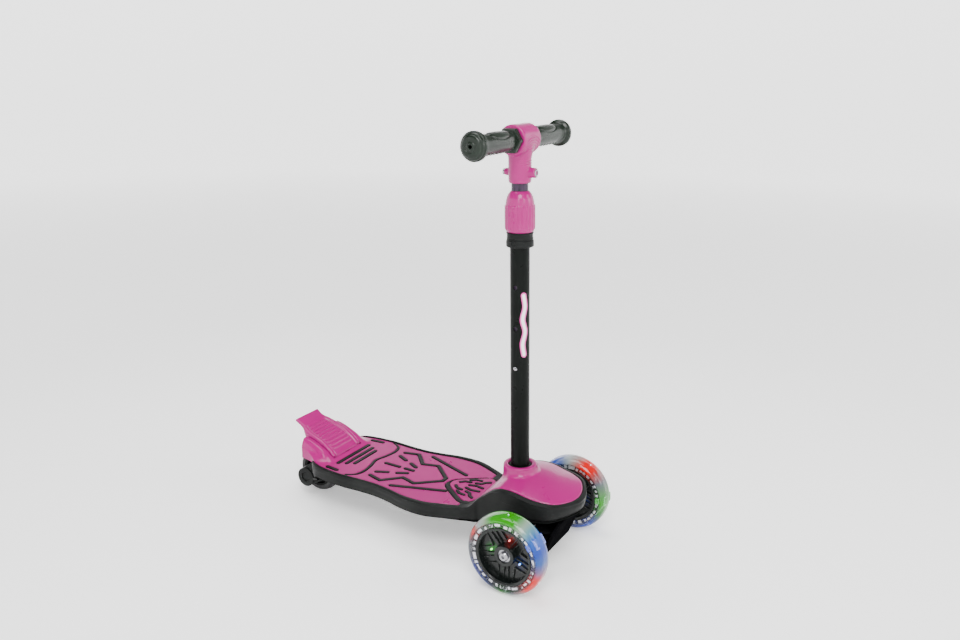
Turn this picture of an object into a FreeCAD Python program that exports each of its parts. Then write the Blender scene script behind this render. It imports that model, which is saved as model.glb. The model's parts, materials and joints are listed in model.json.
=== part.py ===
"""Three-wheeled lean-to-steer kick scooter for small children, millimetres.

Row frame: origin on the ground under the middle of the scooter, +X forward, +Y to the rider's
left, +Z up. The steering tube leans back a little, so the tube and everything on it is drawn
upright about its own axis, with heights measured along it, and then placed by STEM.
The front wheels turn on kingpins whose tops lean forward, which makes the scooter steer when
the deck is leaned, and everything on a kingpin is drawn upright and then placed by a tilt.
"""
import FreeCAD, Part
import math
import os
import Sketcher
from FreeCAD import Placement, Rotation, Vector
from types import SimpleNamespace

os.makedirs("parts", exist_ok=True)
doc = FreeCAD.newDocument("kick_scooter")

# ---------------------------------------------------------------- driving dimensions
DIMENSIONS = {
    # wheels and where they stand
    "wheelbase": 425.0, "front_axle_x": 197.0, "half_track": 108.6,
    "front_wheel_radius": 60.0, "front_tyre_half_width": 16.0, "tyre_crown": 8.5,
    "front_rim_radius": 44.0, "core_ring_radius": 50.4, "core_ring_half_width": 14.0,
    "rear_wheel_radius": 38.0, "rear_tyre_half_width": 15.0, "rear_rim_radius": 28.0,
    "bearing_radius": 11.0, "bearing_bore_radius": 4.0, "bearing_width": 7.0,
    "front_bearing_face": 10.0, "rear_bearing_face": 12.0,
    # steering tube, along its own axis
    "stem_x": 160.5, "stem_rake": 1.6,
    "main_tube_radius": 14.0, "tube_wall": 1.7, "main_tube_foot": 68.0, "main_tube_top": 492.0,
    "inner_tube_radius": 11.7, "inner_tube_foot": 262.0, "inner_tube_top": 600.0,
    "height_hole_radius": 3.2, "lowest_hole": 296.0, "hole_pitch": 60.0,
    "snap_button_radius": 3.0,
    "bushing_foot": 473.0, "bushing_screw_height": 478.5, "bushing_shoulder": 493.4,
    "bushing_top": 532.0,
    "bushing_radius": 18.0, "bushing_ring_radius": 19.5, "thread_radius": 15.6,
    "collar_foot": 493.9, "collar_shoulder": 531.0, "collar_top": 550.6, "collar_radius": 21.3,
    "head_foot": 561.3, "head_screw_height": 575.6, "stem_radius": 15.8,
    "bar_height": 620.0, "saddle_radius": 20.8, "saddle_half_length": 23.5,
    # handlebar, across
    "cross_tube_radius": 11.0, "cross_tube_half_length": 117.0,
    "grip_radius": 13.2, "grip_flange_radius": 19.3, "grip_flange_start": 117.5, "grip_end": 131.0,
    "hex_collar_radius": 18.4, "hex_collar_width": 9.0,
    # steering: kingpins, truck and tie rod
    "kingpin_y": 52.0, "kingpin_tilt": 20.0, "kingpin_radius": 4.0,
    "ear_inner": 15.6, "ear_outer": 19.6, "steering_arm": 22.0,
    # deck
    "deck_top": 79.7, "deck_bottom": 62.0, "deck_wall": 4.0, "pad_thickness": 3.2,
    "arm_inner": 18.6, "arm_outer": 45.3, "axle_boss_radius": 16.5,
    # brake
    "brake_pin_x": -178.0, "brake_pin_z": 77.5, "brake_pin_radius": 2.5, "pedal_half_width": 34.5,
    "running_clearance": 0.05,
}

sheet = doc.addObject("Spreadsheet::Sheet", "Sizes")
for row, (alias, value) in enumerate(DIMENSIONS.items(), start=1):
    sheet.set(f"A{row}", alias)
    sheet.set(f"B{row}", str(value))
    sheet.setAlias(f"B{row}", alias)
doc.recompute()


class Size:
    """A length together with its spreadsheet expression, so one sum sets both."""

    def __init__(self, value, text=None):
        self.value = float(value)
        self.text = text or repr(float(value))
        self.bound = text is not None

    def _join(self, other, sign, value):
        other = as_size(other)
        both = Size(value, f"({self.text} {sign} {other.text})")
        both.bound = self.bound or other.bound
        return both

    def __add__(self, other):
        return self._join(other, "+", self.value + as_size(other).value)

    def __sub__(self, other):
        return self._join(other, "-", self.value - as_size(other).value)

    def __mul__(self, other):
        return self._join(other, "*", self.value * as_size(other).value)

    def __rsub__(self, other):
        return as_size(other) - self

    def __neg__(self):
        return self * -1

    __radd__ = __add__
    __rmul__ = __mul__


def as_size(value):
    return value if isinstance(value, Size) else Size(value)


D = SimpleNamespace(**{name: Size(value, f"Sizes.{name}") for name, value in DIMENSIONS.items()})
N = SimpleNamespace(**{name: float(sheet.get(name)) for name in DIMENSIONS})   # plain numbers

# fits and screw holes that many pieces share
PRESS = 0.02                                    # a tube pushed into a moulding
SLIP = 0.3                                      # a moulding dropped into its seat
SOCKET_SCREW_HOLE, DECK_SCREW_HOLE, TRUCK_SCREW_HOLE = 2.2, 1.7, 1.8
HEAD_BOLT_HOLE, BUSHING_SCREW_HOLE = 2.6, 1.7
PEDAL_SLOT_HALF, CHEEK_CUT_HALF = 36.0, 36.5    # half widths of the openings round the pedal
WALL_FOOT = 4.0                                 # thickness of floors and flanges
HOUSING_WALL, COVER_WALL = 7.0, 3.0             # below the front roof

REAR_AXLE_X = D.front_axle_x - D.wheelbase
TURNS = {"left": Rotation(Vector(1, 0, 0), -90), "right": Rotation(Vector(1, 0, 0), 90)}
SIDES = {"left": 1, "right": -1}
STEM = Placement(Vector(N.stem_x, 0, 0), Rotation(Vector(0, 1, 0), -N.stem_rake))
subparts = []


# ---------------------------------------------------------------- ways of making a piece
def bind(obj, **sizes):
    """Set properties of obj, and tie to the spreadsheet those that come from it."""
    for name, size in sizes.items():
        size = as_size(size)
        setattr(obj, name, size.value)
        if size.bound:
            obj.setExpression(name, size.text)
    return obj


def place(obj, base=(0, 0, 0), rotation=Rotation()):
    """Give obj its Placement, with a base that follows the spreadsheet."""
    base = [as_size(part) for part in base]
    obj.Placement = Placement(Vector(*[part.value for part in base]), rotation)
    for letter, part in zip("xyz", base):
        if part.bound:
            obj.setExpression(f"Placement.Base.{letter}", part.text)
    return obj


def keep(obj, label):
    """Count obj as a sub-part of the scooter under this name."""
    obj.Label = label
    subparts.append(obj)
    return obj


def draw(body, label, plane, loops, height=0.0):
    """Closed loops of (across, up) points, or (across, up, radius) circles, fully constrained."""
    origin = next(f for f in body.Origin.OriginFeatures if f.Role == plane)
    sketch = body.newObject("Sketcher::SketchObject", label)
    sketch.AttachmentSupport = [(origin, "")]
    sketch.MapMode = "FlatFace"
    height = as_size(height)
    sketch.AttachmentOffset = Placement(Vector(0, 0, height.value), Rotation())
    if height.bound:
        sketch.setExpression("AttachmentOffset.Base.z", height.text)

    def pin(index, point, corner):
        for kind, axis, size in (("DistanceX", -2, corner[0]), ("DistanceY", -1, corner[1])):
            size = as_size(size)
            if abs(size.value) < 1e-9:
                sketch.addConstraint(Sketcher.Constraint("PointOnObject", index, point, axis))
                continue
            number = sketch.addConstraint(
                Sketcher.Constraint(kind, -1, 1, index, point, size.value))
            if size.bound:
                sketch.setExpression(f"Constraints[{number}]", size.text)

    for loop in loops:
        if isinstance(loop, tuple):
            centre = Vector(as_size(loop[0]).value, as_size(loop[1]).value, 0)
            radius = as_size(loop[2])
            index = sketch.addGeometry(Part.Circle(centre, Vector(0, 0, 1), radius.value))
            pin(index, 3, loop)
            number = sketch.addConstraint(Sketcher.Constraint("Radius", index, radius.value))
            if radius.bound:
                sketch.setExpression(f"Constraints[{number}]", radius.text)
            continue
        spots = [Vector(as_size(a).value, as_size(b).value, 0) for a, b in loop]
        first = sketch.GeometryCount
        for here, there in zip(spots, spots[1:] + spots[:1]):
            sketch.addGeometry(Part.LineSegment(here, there))
        for step, corner in enumerate(loop):
            after = first + (step + 1) % len(loop)
            sketch.addConstraint(Sketcher.Constraint("Coincident", first + step, 2, after, 1))
            pin(first + step, 1, corner)
    return sketch


def turned(label, *profiles):
    """A lathe-turned piece: (radius, height) profiles revolved about the body's Z axis."""
    body = doc.addObject("PartDesign::Body", label)
    sketch = draw(body, f"{label}_profile", "XZ_Plane", profiles)
    lathe = body.newObject("PartDesign::Revolution", f"{label}_turn")
    lathe.Profile = sketch
    lathe.ReferenceAxis = (sketch, ["V_Axis"])
    lathe.Angle = 360.0
    body.Tip = lathe
    return body


def ring(outer, inner, low, high):
    """The four corners of a plain ring's section."""
    return [(inner, low), (outer, low), (outer, high), (inner, high)]


def cylinder(label, radius, height, base=(0, 0, 0), along=Vector(0, 0, 1)):
    rod = doc.addObject("Part::Cylinder", label)
    bind(rod, Radius=radius, Height=height)
    return place(rod, base, Rotation(Vector(0, 0, 1), along))


def fused(label, pieces):
    whole = doc.addObject("Part::MultiFuse", label)
    whole.Shapes = pieces
    return whole


def cut(label, base, tools):
    result = doc.addObject("Part::Cut", label)
    result.Base = base
    result.Tool = tools[0] if len(tools) == 1 else fused(f"{label}_tools", tools)
    return result


def grouped(label, pieces):
    """Separate solids that share one node."""
    group = doc.addObject("Part::Compound", label)
    group.Links = pieces
    return group


def shaped(label, shape, placement=None):
    """A piece with free curves, from Part's own functions."""
    piece = doc.addObject("Part::Feature", label)
    piece.Shape = shape
    if placement:
        piece.Placement = placement
    return piece


def smooth_outline(points):
    """A closed wire through (x, half width) points and their mirror image, closed by straight
    lines across the ends that are not on the middle line."""
    left = [Vector(x, half, 0) for x, half in points]
    right = [Vector(x, -half, 0) for x, half in points]
    edges = []
    for side in (left, right):
        curve = Part.BSplineCurve()
        curve.interpolate(side)
        edges.append(curve.toShape())
    if left[0].y > 0:
        edges.append(Part.LineSegment(left[0], right[0]).toShape())
    if left[-1].y > 0:
        edges.append(Part.LineSegment(left[-1], right[-1]).toShape())
    return Part.Wire(Part.__sortEdges__(edges))


def prism(wire, low, high):
    """The wire's area from height low to height high."""
    face = Part.Face(wire)
    face.translate(Vector(0, 0, low))
    return face.extrude(Vector(0, 0, high - low))


def roof(stations, across, height_at):
    """A smooth surface over a grid of stations in x and y, as a face."""
    grid = [[Vector(x, y, height_at(x, y)) for y in across] for x in stations]
    surface = Part.BSplineSurface()
    surface.interpolate(grid)
    return surface.toShape()


def interpolate(table, x):
    """Straight-line look-up in a table of (x, value) pairs."""
    for (x0, v0), (x1, v1) in zip(table, table[1:]):
        if x <= x1:
            share = max(0.0, (x - x0) / (x1 - x0))
            return v0 + (v1 - v0) * share
    return table[-1][1]


def stroke(points, width, low, high):
    """A groove cutter: a bar of this width, with round ends, along a polyline."""
    pieces = []
    for (x0, y0), (x1, y1) in zip(points, points[1:]):
        run = Vector(x1 - x0, y1 - y0, 0)
        bar = Part.makeBox(run.Length, width, high - low, Vector(0, -width / 2, 0))
        bar.Placement = Placement(Vector(x0, y0, low), Rotation(Vector(1, 0, 0), run))
        pieces.append(bar)
    for x, y in points:
        pieces.append(Part.makeCylinder(width / 2, high - low, Vector(x, y, low)))
    return pieces[0].multiFuse(pieces[1:]).removeSplitter()


def coil(radius, wire_radius, turns, length, axis_base, direction):
    """A round-wire coil spring along direction from axis_base."""
    helix = Part.makeHelix(length / turns, length, radius)
    section = Part.Wire(Part.makeCircle(wire_radius, Vector(radius, 0, 0), Vector(0, 1, 0)))
    body = Part.Wire(helix).makePipeShell([section], True, True)
    body.Placement = Placement(Vector(*axis_base), Rotation(Vector(0, 0, 1), Vector(*direction)))
    return body


# ---------------------------------------------------------------- outlines seen from above
# (x, half width) of the deck, the housing round the neck and the covers that lie in them
DECK_OUTLINE = [(-206, 50), (-199, 60), (-189, 68), (-170, 74), (-130, 77.5), (-90, 75.5),
                (-59, 75.5), (-30, 80), (0, 86.5), (35, 87.5), (60, 80.5), (84, 70), (97, 63),
                (112, 58)]
HOUSING_OUTLINE = [(92, 65), (104, 60), (116, 57.5), (130, 58.5), (150, 61.5), (182, 64.5),
                   (209, 63.5), (222, 61), (237, 53.5), (249, 38), (257, 20), (260.5, 7), (261, 0)]
COVER_OUTLINE = [(104, 43), (112, 46), (130, 50), (150, 53.5), (182, 57), (209, 55.5),
                 (222, 52.5), (237, 44.5), (247, 29), (252, 14), (253.3, 5), (253.5, 0)]
WAVE = [(-129, 70.5), (-113, 60), (-108, 42), (-111, 20), (-116, 0)]
WAVE_GAP = 4.0                                  # black channel between rear cover and pad
FRONT_PAD_OUTLINE = [(36, 4), (41, 11.5), (50, 19), (60, 26.5), (74, 37), (82, 41.5), (88, 42),
                     (94, 38), (99, 26)]

# heights along x of the front cover: at its border, and on the middle line
BORDER_HEIGHT = [(92, 79.7), (99, 80.5), (105, 84), (112, 92), (128, 107), (142, 118), (156, 124),
                 (170, 126), (182, 125.5), (209, 120), (222, 118), (237, 115), (253, 112),
                 (265, 110)]
CROWN_HEIGHT = [(92, 79.7), (99, 81), (105, 86), (112, 95.5), (128, 113), (142, 126), (156, 133),
                (170, 134.5), (182, 133), (209, 127.5), (222, 124), (237, 119.5), (253, 113.5),
                (265, 110)]
CHEEK_HEIGHT = [(-250, 30), (-236, 30), (-220, 28), (-205, 23), (-188, 15), (-176, 6), (-160, 0),
                (-120, 0)]
CHEEK_FADE = [(0, 1), (43, 1), (47, 0.85), (52, 0.45), (60, 0.12), (66, 0), (90, 0)]


def shrunk(points, margin):
    """The housing outline moved inwards by margin, about a point behind its rounded nose."""
    middle, reach = 200.0, 61.0
    share = (reach - margin) / reach
    return [(middle + (x - middle) * share if x > middle else x, half * share)
            for x, half in points]


def inset(points, margin):
    return [(x, half - margin) for x, half in points]


def housing_height(x, y):
    """Top of the front housing and its cover, crowned across."""
    border, crown = interpolate(BORDER_HEIGHT, x), interpolate(CROWN_HEIGHT, x)
    return border + (crown - border) * (1 - (y / 57.0) ** 2)


def cheek_height(x, y):
    """Top of the rear cover: flat on the deck, rising into a cheek each side of the pedal."""
    return N.deck_top + 0.5 + interpolate(CHEEK_HEIGHT, x) * interpolate(CHEEK_FADE, abs(y))


def frange(low, high, count):
    return [low + (high - low) * step / (count - 1) for step in range(count)]


FRONT_ROOF = roof(frange(86, 268, 27), frange(-72, 72, 13), housing_height)
REAR_ROOF = roof(frange(-246, -120, 22), frange(-80, 80, 33), cheek_height)


def under(face, drop, depth):
    """The slab from drop below a roof to depth below it."""
    lowered = face.copy()
    lowered.translate(Vector(0, 0, -drop))
    return lowered.extrude(Vector(0, 0, drop - depth))


def above(face, drop, height):
    lowered = face.copy()
    lowered.translate(Vector(0, 0, -drop))
    return lowered.extrude(Vector(0, 0, height))


def block(low, high):
    """A box between two corners."""
    low, high = Vector(*low), Vector(*high)
    return Part.makeBox(*(high - low), low)


def both_sides(shape):
    """A shape and its mirror image across the scooter's middle plane."""
    return [shape, shape.mirror(Vector(0, 0, 0), Vector(0, 1, 0))]


# ---------------------------------------------------------------- deck base with housing
def deck_base():
    top, bottom = N.deck_top, N.deck_bottom
    floor = top - N.pad_thickness                       # the pads lie on this level
    tray = prism(smooth_outline(DECK_OUTLINE), bottom, top)
    recess = prism(smooth_outline(inset(DECK_OUTLINE[:-1], 6.0)), floor, top + 1)
    underside = prism(smooth_outline(inset(DECK_OUTLINE[4:-3], 4.0 + N.deck_wall)),
                      bottom - 1, floor - 5)
    ribs = [block((x - 1.5, -90, bottom), (x + 1.5, 90, floor)) for x in range(-96, 60, 40)]
    ribs += [block((-140, y - 1.5, bottom), (70, y + 1.5, floor)) for y in (-56, -19, 19, 56)]
    tray = tray.cut(recess).cut(underside.cut(ribs[0].multiFuse(ribs[1:])))

    rim = Part.makeLoft([rise(smooth_outline(shrunk(HOUSING_OUTLINE, 10)), 88),
                         rise(smooth_outline(HOUSING_OUTLINE), 108)], True)
    rim = rim.fuse(prism(smooth_outline(HOUSING_OUTLINE), 108, 145))
    neck = prism(smooth_outline([(x, half - 6) for x, half in HOUSING_OUTLINE[:6]]), bottom, 96)
    hollow = Part.makeLoft([rise(smooth_outline(shrunk(HOUSING_OUTLINE[2:], 14)), 87),
                            rise(smooth_outline(shrunk(HOUSING_OUTLINE[2:], 6)), 108)], True)
    hollow = hollow.fuse(prism(smooth_outline(shrunk(HOUSING_OUTLINE[2:], 6)), 108, 140))
    roomy = hollow.common(under(FRONT_ROOF, HOUSING_WALL, 90))
    neck_room = block((118, -44, bottom + WALL_FOOT), (180, 44, 97)).common(
        under(FRONT_ROOF, HOUSING_WALL, 90))
    cover_seat = prism(smooth_outline([(x, half + SLIP) for x, half in COVER_OUTLINE[:-1]]
                                      + [(253.8, 0)]), 78, 150)
    cover_seat = cover_seat.common(above(FRONT_ROOF, 3.1, 60))
    opening = prism(smooth_outline(shrunk(COVER_OUTLINE[1:], 4)), 84, 150)
    opening = opening.common(above(FRONT_ROOF, 7.5, 60))
    housing = rim.fuse(neck).common(under(FRONT_ROOF, 0, 90))
    housing = housing.cut(roomy).cut(neck_room).cut(cover_seat).cut(opening)
    shelf = block((176, -50, 96), (238, 50, 100)).common(
        prism(smooth_outline(shrunk(HOUSING_OUTLINE, 9)), 90, 110))

    arm_side = Part.makePolygon([Vector(*p) for p in (
        (-158, 0, bottom), (-216, 0, 26), (-243, 0, 46), (-208, 0, 72), (-158, 0, 76.3),
        (-158, 0, bottom))])
    arm = Part.Face(arm_side).extrude(Vector(0, 13, 0))
    arm.translate(Vector(0, 30, 0))
    rear_x, rear_z = REAR_AXLE_X.value, N.rear_wheel_radius
    boss = Part.makeCylinder(N.axle_boss_radius, N.arm_outer - N.arm_inner,
                             Vector(rear_x, N.arm_inner, rear_z), Vector(0, 1, 0))
    pin_spot = Vector(N.brake_pin_x, 37, N.brake_pin_z)
    lug = Part.makeCylinder(5.0, 6.0, pin_spot, Vector(0, 1, 0))
    lug_foot = block((pin_spot.x - 5, 37, 68), (pin_spot.x + 5, 43, pin_spot.z))
    solid = tray.fuse([housing, shelf] + both_sides(arm) + both_sides(boss) + both_sides(lug)
                      + both_sides(lug_foot))

    wheel_slot = block((-262, -N.arm_inner, 0), (-184, N.arm_inner, 90))
    pedal_slot = block((-262, -PEDAL_SLOT_HALF, 66), (-170, PEDAL_SLOT_HALF, 90))
    axle_hole = Part.makeCylinder(4.05, 120, Vector(rear_x, -60, rear_z), Vector(0, 1, 0))
    pin_hole = Part.makeCylinder(N.brake_pin_radius, 90, Vector(N.brake_pin_x, -45, N.brake_pin_z),
                                 Vector(0, 1, 0))
    recesses = []
    recess_radius, recess_floor = 9.2, 36.0             # hexagonal, for the axle's head and nut
    for side in (-1, 1):
        turns = [math.radians(60 * i + 30) for i in range(7)]
        corners = [Vector(rear_x + recess_radius * math.cos(turn), side * recess_floor,
                          rear_z + recess_radius * math.sin(turn)) for turn in turns]
        recesses.append(Part.Face(Part.makePolygon(corners)).extrude(Vector(0, side * 15, 0)))
    pad_pocket = prism(smooth_outline([(x, half + 0.6) for x, half in FRONT_PAD_OUTLINE[:-1]]
                                      + [(99.8, 26.6)]), floor, top + 4)
    sleeve_room = Part.makeCylinder(SLEEVE_RADIUS + SLIP, 115.5 - bottom,
                                    Vector(0, 0, bottom + WALL_FOOT))
    sleeve_room.Placement = STEM
    low, high = SOCKET_FLANGE
    flange_room = block((low[0] - SLIP, low[1] - SLIP, low[2]),
                        (high[0] + SLIP, high[1] + SLIP, high[2] + SLIP))
    screw_holes = [Part.makeCylinder(DECK_SCREW_HOLE, 60, Vector(x, y, 50))
                   for x, y in DECK_SCREW_SPOTS]
    screw_holes += [Part.makeCylinder(SOCKET_SCREW_HOLE, 20, Vector(x, y, height))
                    for spots, height in ((TRUCK_SCREW_SPOTS, 90), (SOCKET_SCREW_SPOTS, 55))
                    for x, y in spots]
    pockets = [wheel_slot, pedal_slot, pad_pocket, sleeve_room, flange_room]
    return solid.cut(pockets + [axle_hole, pin_hole] + recesses + screw_holes)


def rise(wire, height):
    wire.translate(Vector(0, 0, height))
    return wire


DECK_SCREW_SPOTS = [(x, y) for x in (-120, -76, 4, 48) for y in (-38, 38)]
TRUCK_SCREW_SPOTS = [(202, -14), (202, 14), (222, -14), (222, 14)]
SOCKET_SCREW_SPOTS = [(139, -20), (139, 20), (176, -20), (176, 20)]
SOCKET_FLOOR = N.deck_bottom + WALL_FOOT
SOCKET_FLANGE = (130, -30, SOCKET_FLOOR), (185, 30, SOCKET_FLOOR + WALL_FOOT)
SLEEVE_RADIUS, SLEEVE_TOP = 19.0, 114.0

keep(shaped("deck_base", deck_base()), "deck_base")


# ---------------------------------------------------------------- pads and covers on the deck
def wave_line(shift):
    """The wavy edge across the deck, moved along x."""
    left = [Vector(x + shift, half, 0) for x, half in WAVE]
    curve = Part.BSplineCurve()
    curve.interpolate(left + [Vector(p.x, -p.y, 0) for p in reversed(left[:-1])])
    return curve


def area_beside(curve, far_x):
    """The area between a curve across the deck and a straight line at far_x."""
    start, end = curve.StartPoint, curve.EndPoint
    corners = [end, Vector(end.x, -95, 0), Vector(far_x, -95, 0), Vector(far_x, 95, 0),
               Vector(start.x, 95, 0), start]
    return Part.Wire(Part.__sortEdges__([curve.toShape()] + Part.makePolygon(corners).Edges))


PAD_LINES = [
    [(-88, 48.5), (-63.5, 55.3), (-38, 28.3), (-12, 36), (22, 5.5), (22, 0)],
    [(-39, 60.5), (43.5, 31.5)],
    [(-87, 34), (-70, 25.6)],
    [(-55.4, 20), (-41, 12.5)],
]
PAD_MIDDLE_LINES = [[(-92, 0), (-65, 0)], [(-53, 0), (-38, 0)]]
GROOVE_WIDTH, SLOT_WIDTH = 4.4, 5.6
COVER_SLOTS = [(-159, 41), (-146.5, 35), (-135, 28)]
CHEEK_POCKET = [(-162, 61), (-146, 62.5)]


def deck_pad():
    low, high = N.deck_top - N.pad_thickness, N.deck_top + 0.5
    outline = smooth_outline(inset(DECK_OUTLINE[2:-2], 6.5))
    pad = prism(outline, low, high)
    pad = pad.common(prism(area_beside(wave_line(WAVE_GAP), 92), low, high))
    front_gap = smooth_outline([(x - 7 if x < 60 else x + 7, half + 6)
                                for x, half in FRONT_PAD_OUTLINE] + [(130, 26)])
    cuts = [prism(front_gap, low, high)]
    for line in PAD_LINES:
        for side in (-1, 1):
            cuts.append(stroke([(x, side * y) for x, y in line], GROOVE_WIDTH, low, high))
    cuts += [stroke(line, GROOVE_WIDTH, low, high) for line in PAD_MIDDLE_LINES]
    return pad.cut(cuts)


def rear_cover():
    outline = smooth_outline([(-229, 50.5), (-220, 51.8), (-205, 55), (-190, 61.5), (-172, 67.3),
                              (-150, 70.3), (-130, 71), (-100, 70)])
    cover = under(REAR_ROOF, 0, 3.5).common(prism(outline, 60, 130))
    cover = cover.common(prism(area_beside(wave_line(0), -250), 60, 130))
    cuts = [block((-260, -CHEEK_CUT_HALF, 60), (-170.5, CHEEK_CUT_HALF, 130))]
    for x, half in COVER_SLOTS:
        cuts.append(stroke([(x, -half), (x, half)], SLOT_WIDTH, 70, 90))
    for side in (-1, 1):
        cuts.append(stroke([(x, side * y) for x, y in CHEEK_POCKET], SLOT_WIDTH, 70, 95))
    return cover.cut(cuts)


def front_cover():
    slab = under(FRONT_ROOF, -0.4, COVER_WALL).common(prism(smooth_outline(COVER_OUTLINE), 70, 150))
    collar = Part.makeCylinder(25, 26, Vector(0, 0, 118)).fuse(
        Part.makeCone(29, 25, 8, Vector(0, 0, 129)))
    collar.Placement = STEM
    bore = Part.makeCylinder(15.4, 80, Vector(0, 0, 90))
    under_cap = Part.makeCylinder(22, 42, Vector(0, 0, 90))
    for tool in (bore, under_cap):
        tool.Placement = STEM
    cap = collar.cut(under(FRONT_ROOF, COVER_WALL, 60))
    return slab.fuse(cap).cut([bore, under_cap])


keep(shaped("deck_pad", deck_pad()), "deck_pad")
keep(shaped("front_pad", prism(smooth_outline(FRONT_PAD_OUTLINE), N.deck_top - N.pad_thickness,
                               N.deck_top + 0.5)), "front_pad")
keep(shaped("rear_cover", rear_cover()), "rear_cover")
keep(shaped("front_cover", front_cover()), "front_cover")


def screw(label, x, y, low, high, shank, head_radius, head_height):
    """A pan-head screw driven upwards, its head below low."""
    part = turned(label, [(0, low - head_height), (head_radius, low - head_height),
                          (head_radius, low), (shank, low), (shank, high), (0, high)])
    return place(part, (x, y, 0))


keep(grouped("deck_screws", [
    screw(f"deck_screw_{i}", x, y, 71.5, D.deck_top - D.pad_thickness, 1.7, 3.5, 2.0)
    for i, (x, y) in enumerate(DECK_SCREW_SPOTS)]), "deck_screws")


# ---------------------------------------------------------------- stem socket and steering tube
def stem_piece(obj, label):
    obj.Placement = STEM
    return keep(obj, label)


flange = block(*SOCKET_FLANGE)
tube_room = Part.makeCylinder(N.main_tube_radius + PRESS, 90, Vector(0, 0, 60))
sleeve = Part.makeCylinder(SLEEVE_RADIUS, SLEEVE_TOP - 60, Vector(0, 0, 60))
for tool in (tube_room, sleeve):
    tool.Placement = STEM
sleeve = sleeve.cut(block((90, -60, 0), (240, 60, SOCKET_FLOOR)))
holes = [Part.makeCylinder(SOCKET_SCREW_HOLE, 30, Vector(x, y, 55)) for x, y in SOCKET_SCREW_SPOTS]
keep(shaped("stem_socket", flange.fuse(sleeve).cut([tube_room] + holes)), "stem_socket")
keep(grouped("socket_screws", [
    screw(f"socket_screw_{i}", x, y, D.deck_bottom, SOCKET_FLANGE[1][2], 2.15, 4.0, 2.2)
    for i, (x, y) in enumerate(SOCKET_SCREW_SPOTS)]), "socket_screws")

HOLE_HEIGHTS = [D.lowest_hole + D.hole_pitch * step for step in range(3)]
OUT_RIGHT = Vector(0, -1, 0)                 # the height holes face the rider's right
main_bore = D.main_tube_radius - D.tube_wall

main_wall = turned("main_tube_wall", ring(D.main_tube_radius, main_bore, D.main_tube_foot,
                                          D.main_tube_top))
height_holes = [cylinder(f"height_hole_{i}", D.height_hole_radius, 30, (0, 0, height), OUT_RIGHT)
                for i, height in enumerate(HOLE_HEIGHTS)]
bushing_screw_hole = cylinder("bushing_screw_hole", BUSHING_SCREW_HOLE, 30,
                              (0, 0, D.bushing_screw_height), OUT_RIGHT)
stem_piece(cut("main_tube", main_wall, height_holes + [bushing_screw_hole]), "main_tube")

outside = D.main_tube_radius + PRESS
throat = D.inner_tube_radius + SLIP
bushing_turn = turned("bushing_turn", [
    (outside, D.bushing_foot), (D.bushing_ring_radius, D.bushing_foot),
    (D.bushing_ring_radius, D.bushing_foot + 5.5), (D.bushing_radius, D.bushing_foot + 6.5),
    (D.bushing_radius, D.bushing_shoulder), (D.thread_radius, D.bushing_shoulder),
    (D.thread_radius, D.bushing_top), (throat, D.bushing_top), (throat, D.main_tube_top + 0.2),
    (outside, D.main_tube_top + 0.2)])
bushing_hole = cylinder("bushing_hole", BUSHING_SCREW_HOLE, 30, (0, 0, D.bushing_screw_height),
                        OUT_RIGHT)
bushing_sink = cylinder("bushing_sink", BUSHING_SCREW_HOLE + 1.0, 10,
                        (0, -17.5, D.bushing_screw_height), OUT_RIGHT)
stem_piece(cut("tube_bushing", bushing_turn, [bushing_hole, bushing_sink]), "tube_bushing")

bushing_screw = turned("bushing_screw", [(0, 12.6), (1.65, 12.6), (1.65, 17.6), (2.6, 19.2),
                                         (0, 19.2)])
bushing_screw.Placement = STEM * Placement(Vector(0, 0, N.bushing_screw_height),
                                           Rotation(Vector(1, 0, 0), 90))
keep(bushing_screw, "bushing_screw")

grip_radius = D.thread_radius + 0.4
collar_turn = turned("collar_turn", [
    (grip_radius, D.collar_foot), (D.collar_radius - 2.5, D.collar_foot),
    (D.collar_radius - 0.4, D.collar_foot + 3.5), (D.collar_radius - 0.4, D.collar_shoulder),
    (D.collar_radius - 1.6, D.collar_shoulder + 1), (D.collar_radius - 2.6, D.collar_top - 11),
    (D.collar_radius - 5.3, D.collar_top - 4), (D.collar_radius - 8.6, D.collar_top),
    (throat, D.collar_top), (throat, D.bushing_top + 0.6), (grip_radius, D.bushing_top + 0.6)])
fluting = collar_turn.newObject("PartDesign::Pad", "flute")
flute_sketch = draw(collar_turn, "flute_outline", "XY_Plane", [[
    (D.collar_radius - 2.0, -1.1), (D.collar_radius, -0.7), (D.collar_radius, 0.7),
    (D.collar_radius - 2.0, 1.1)]], D.collar_foot + 4.2)
fluting.Profile = flute_sketch
bind(fluting, Length=D.collar_shoulder - D.collar_foot - 5.0)
flutes = collar_turn.newObject("PartDesign::PolarPattern", "flutes")
flutes.Originals = [fluting]
flutes.Axis = (flute_sketch, ["N_Axis"])
flutes.Angle = 360.0
flutes.Occurrences = 30
collar_turn.Tip = flutes
stem_piece(collar_turn, "twist_collar")

inner_bore = D.inner_tube_radius - 1.5
inner_wall = turned("inner_tube_wall", ring(D.inner_tube_radius, inner_bore, D.inner_tube_foot,
                                            D.inner_tube_top))
button_hole = cylinder("button_hole", D.snap_button_radius + D.running_clearance, 30,
                       (0, 0, D.lowest_hole), OUT_RIGHT)
head_bolt_hole = cylinder("head_bolt_hole", HEAD_BOLT_HOLE, 40, (-20, 0, D.head_screw_height),
                          Vector(1, 0, 0))
stem_piece(cut("inner_tube", inner_wall, [button_hole, head_bolt_hole]), "inner_tube")

snap_button = turned("snap_button", [
    (0, 8.0), (4.3, 8.0), (4.3, 8.9), (D.snap_button_radius, 8.9), (D.snap_button_radius, 14.6),
    (2.2, 15.8), (1.2, 16.3), (0, 16.4)])
snap_button.Placement = STEM * Placement(Vector(0, 0, N.lowest_hole), Rotation(Vector(1, 0, 0), 90))
keep(snap_button, "snap_button")


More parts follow.
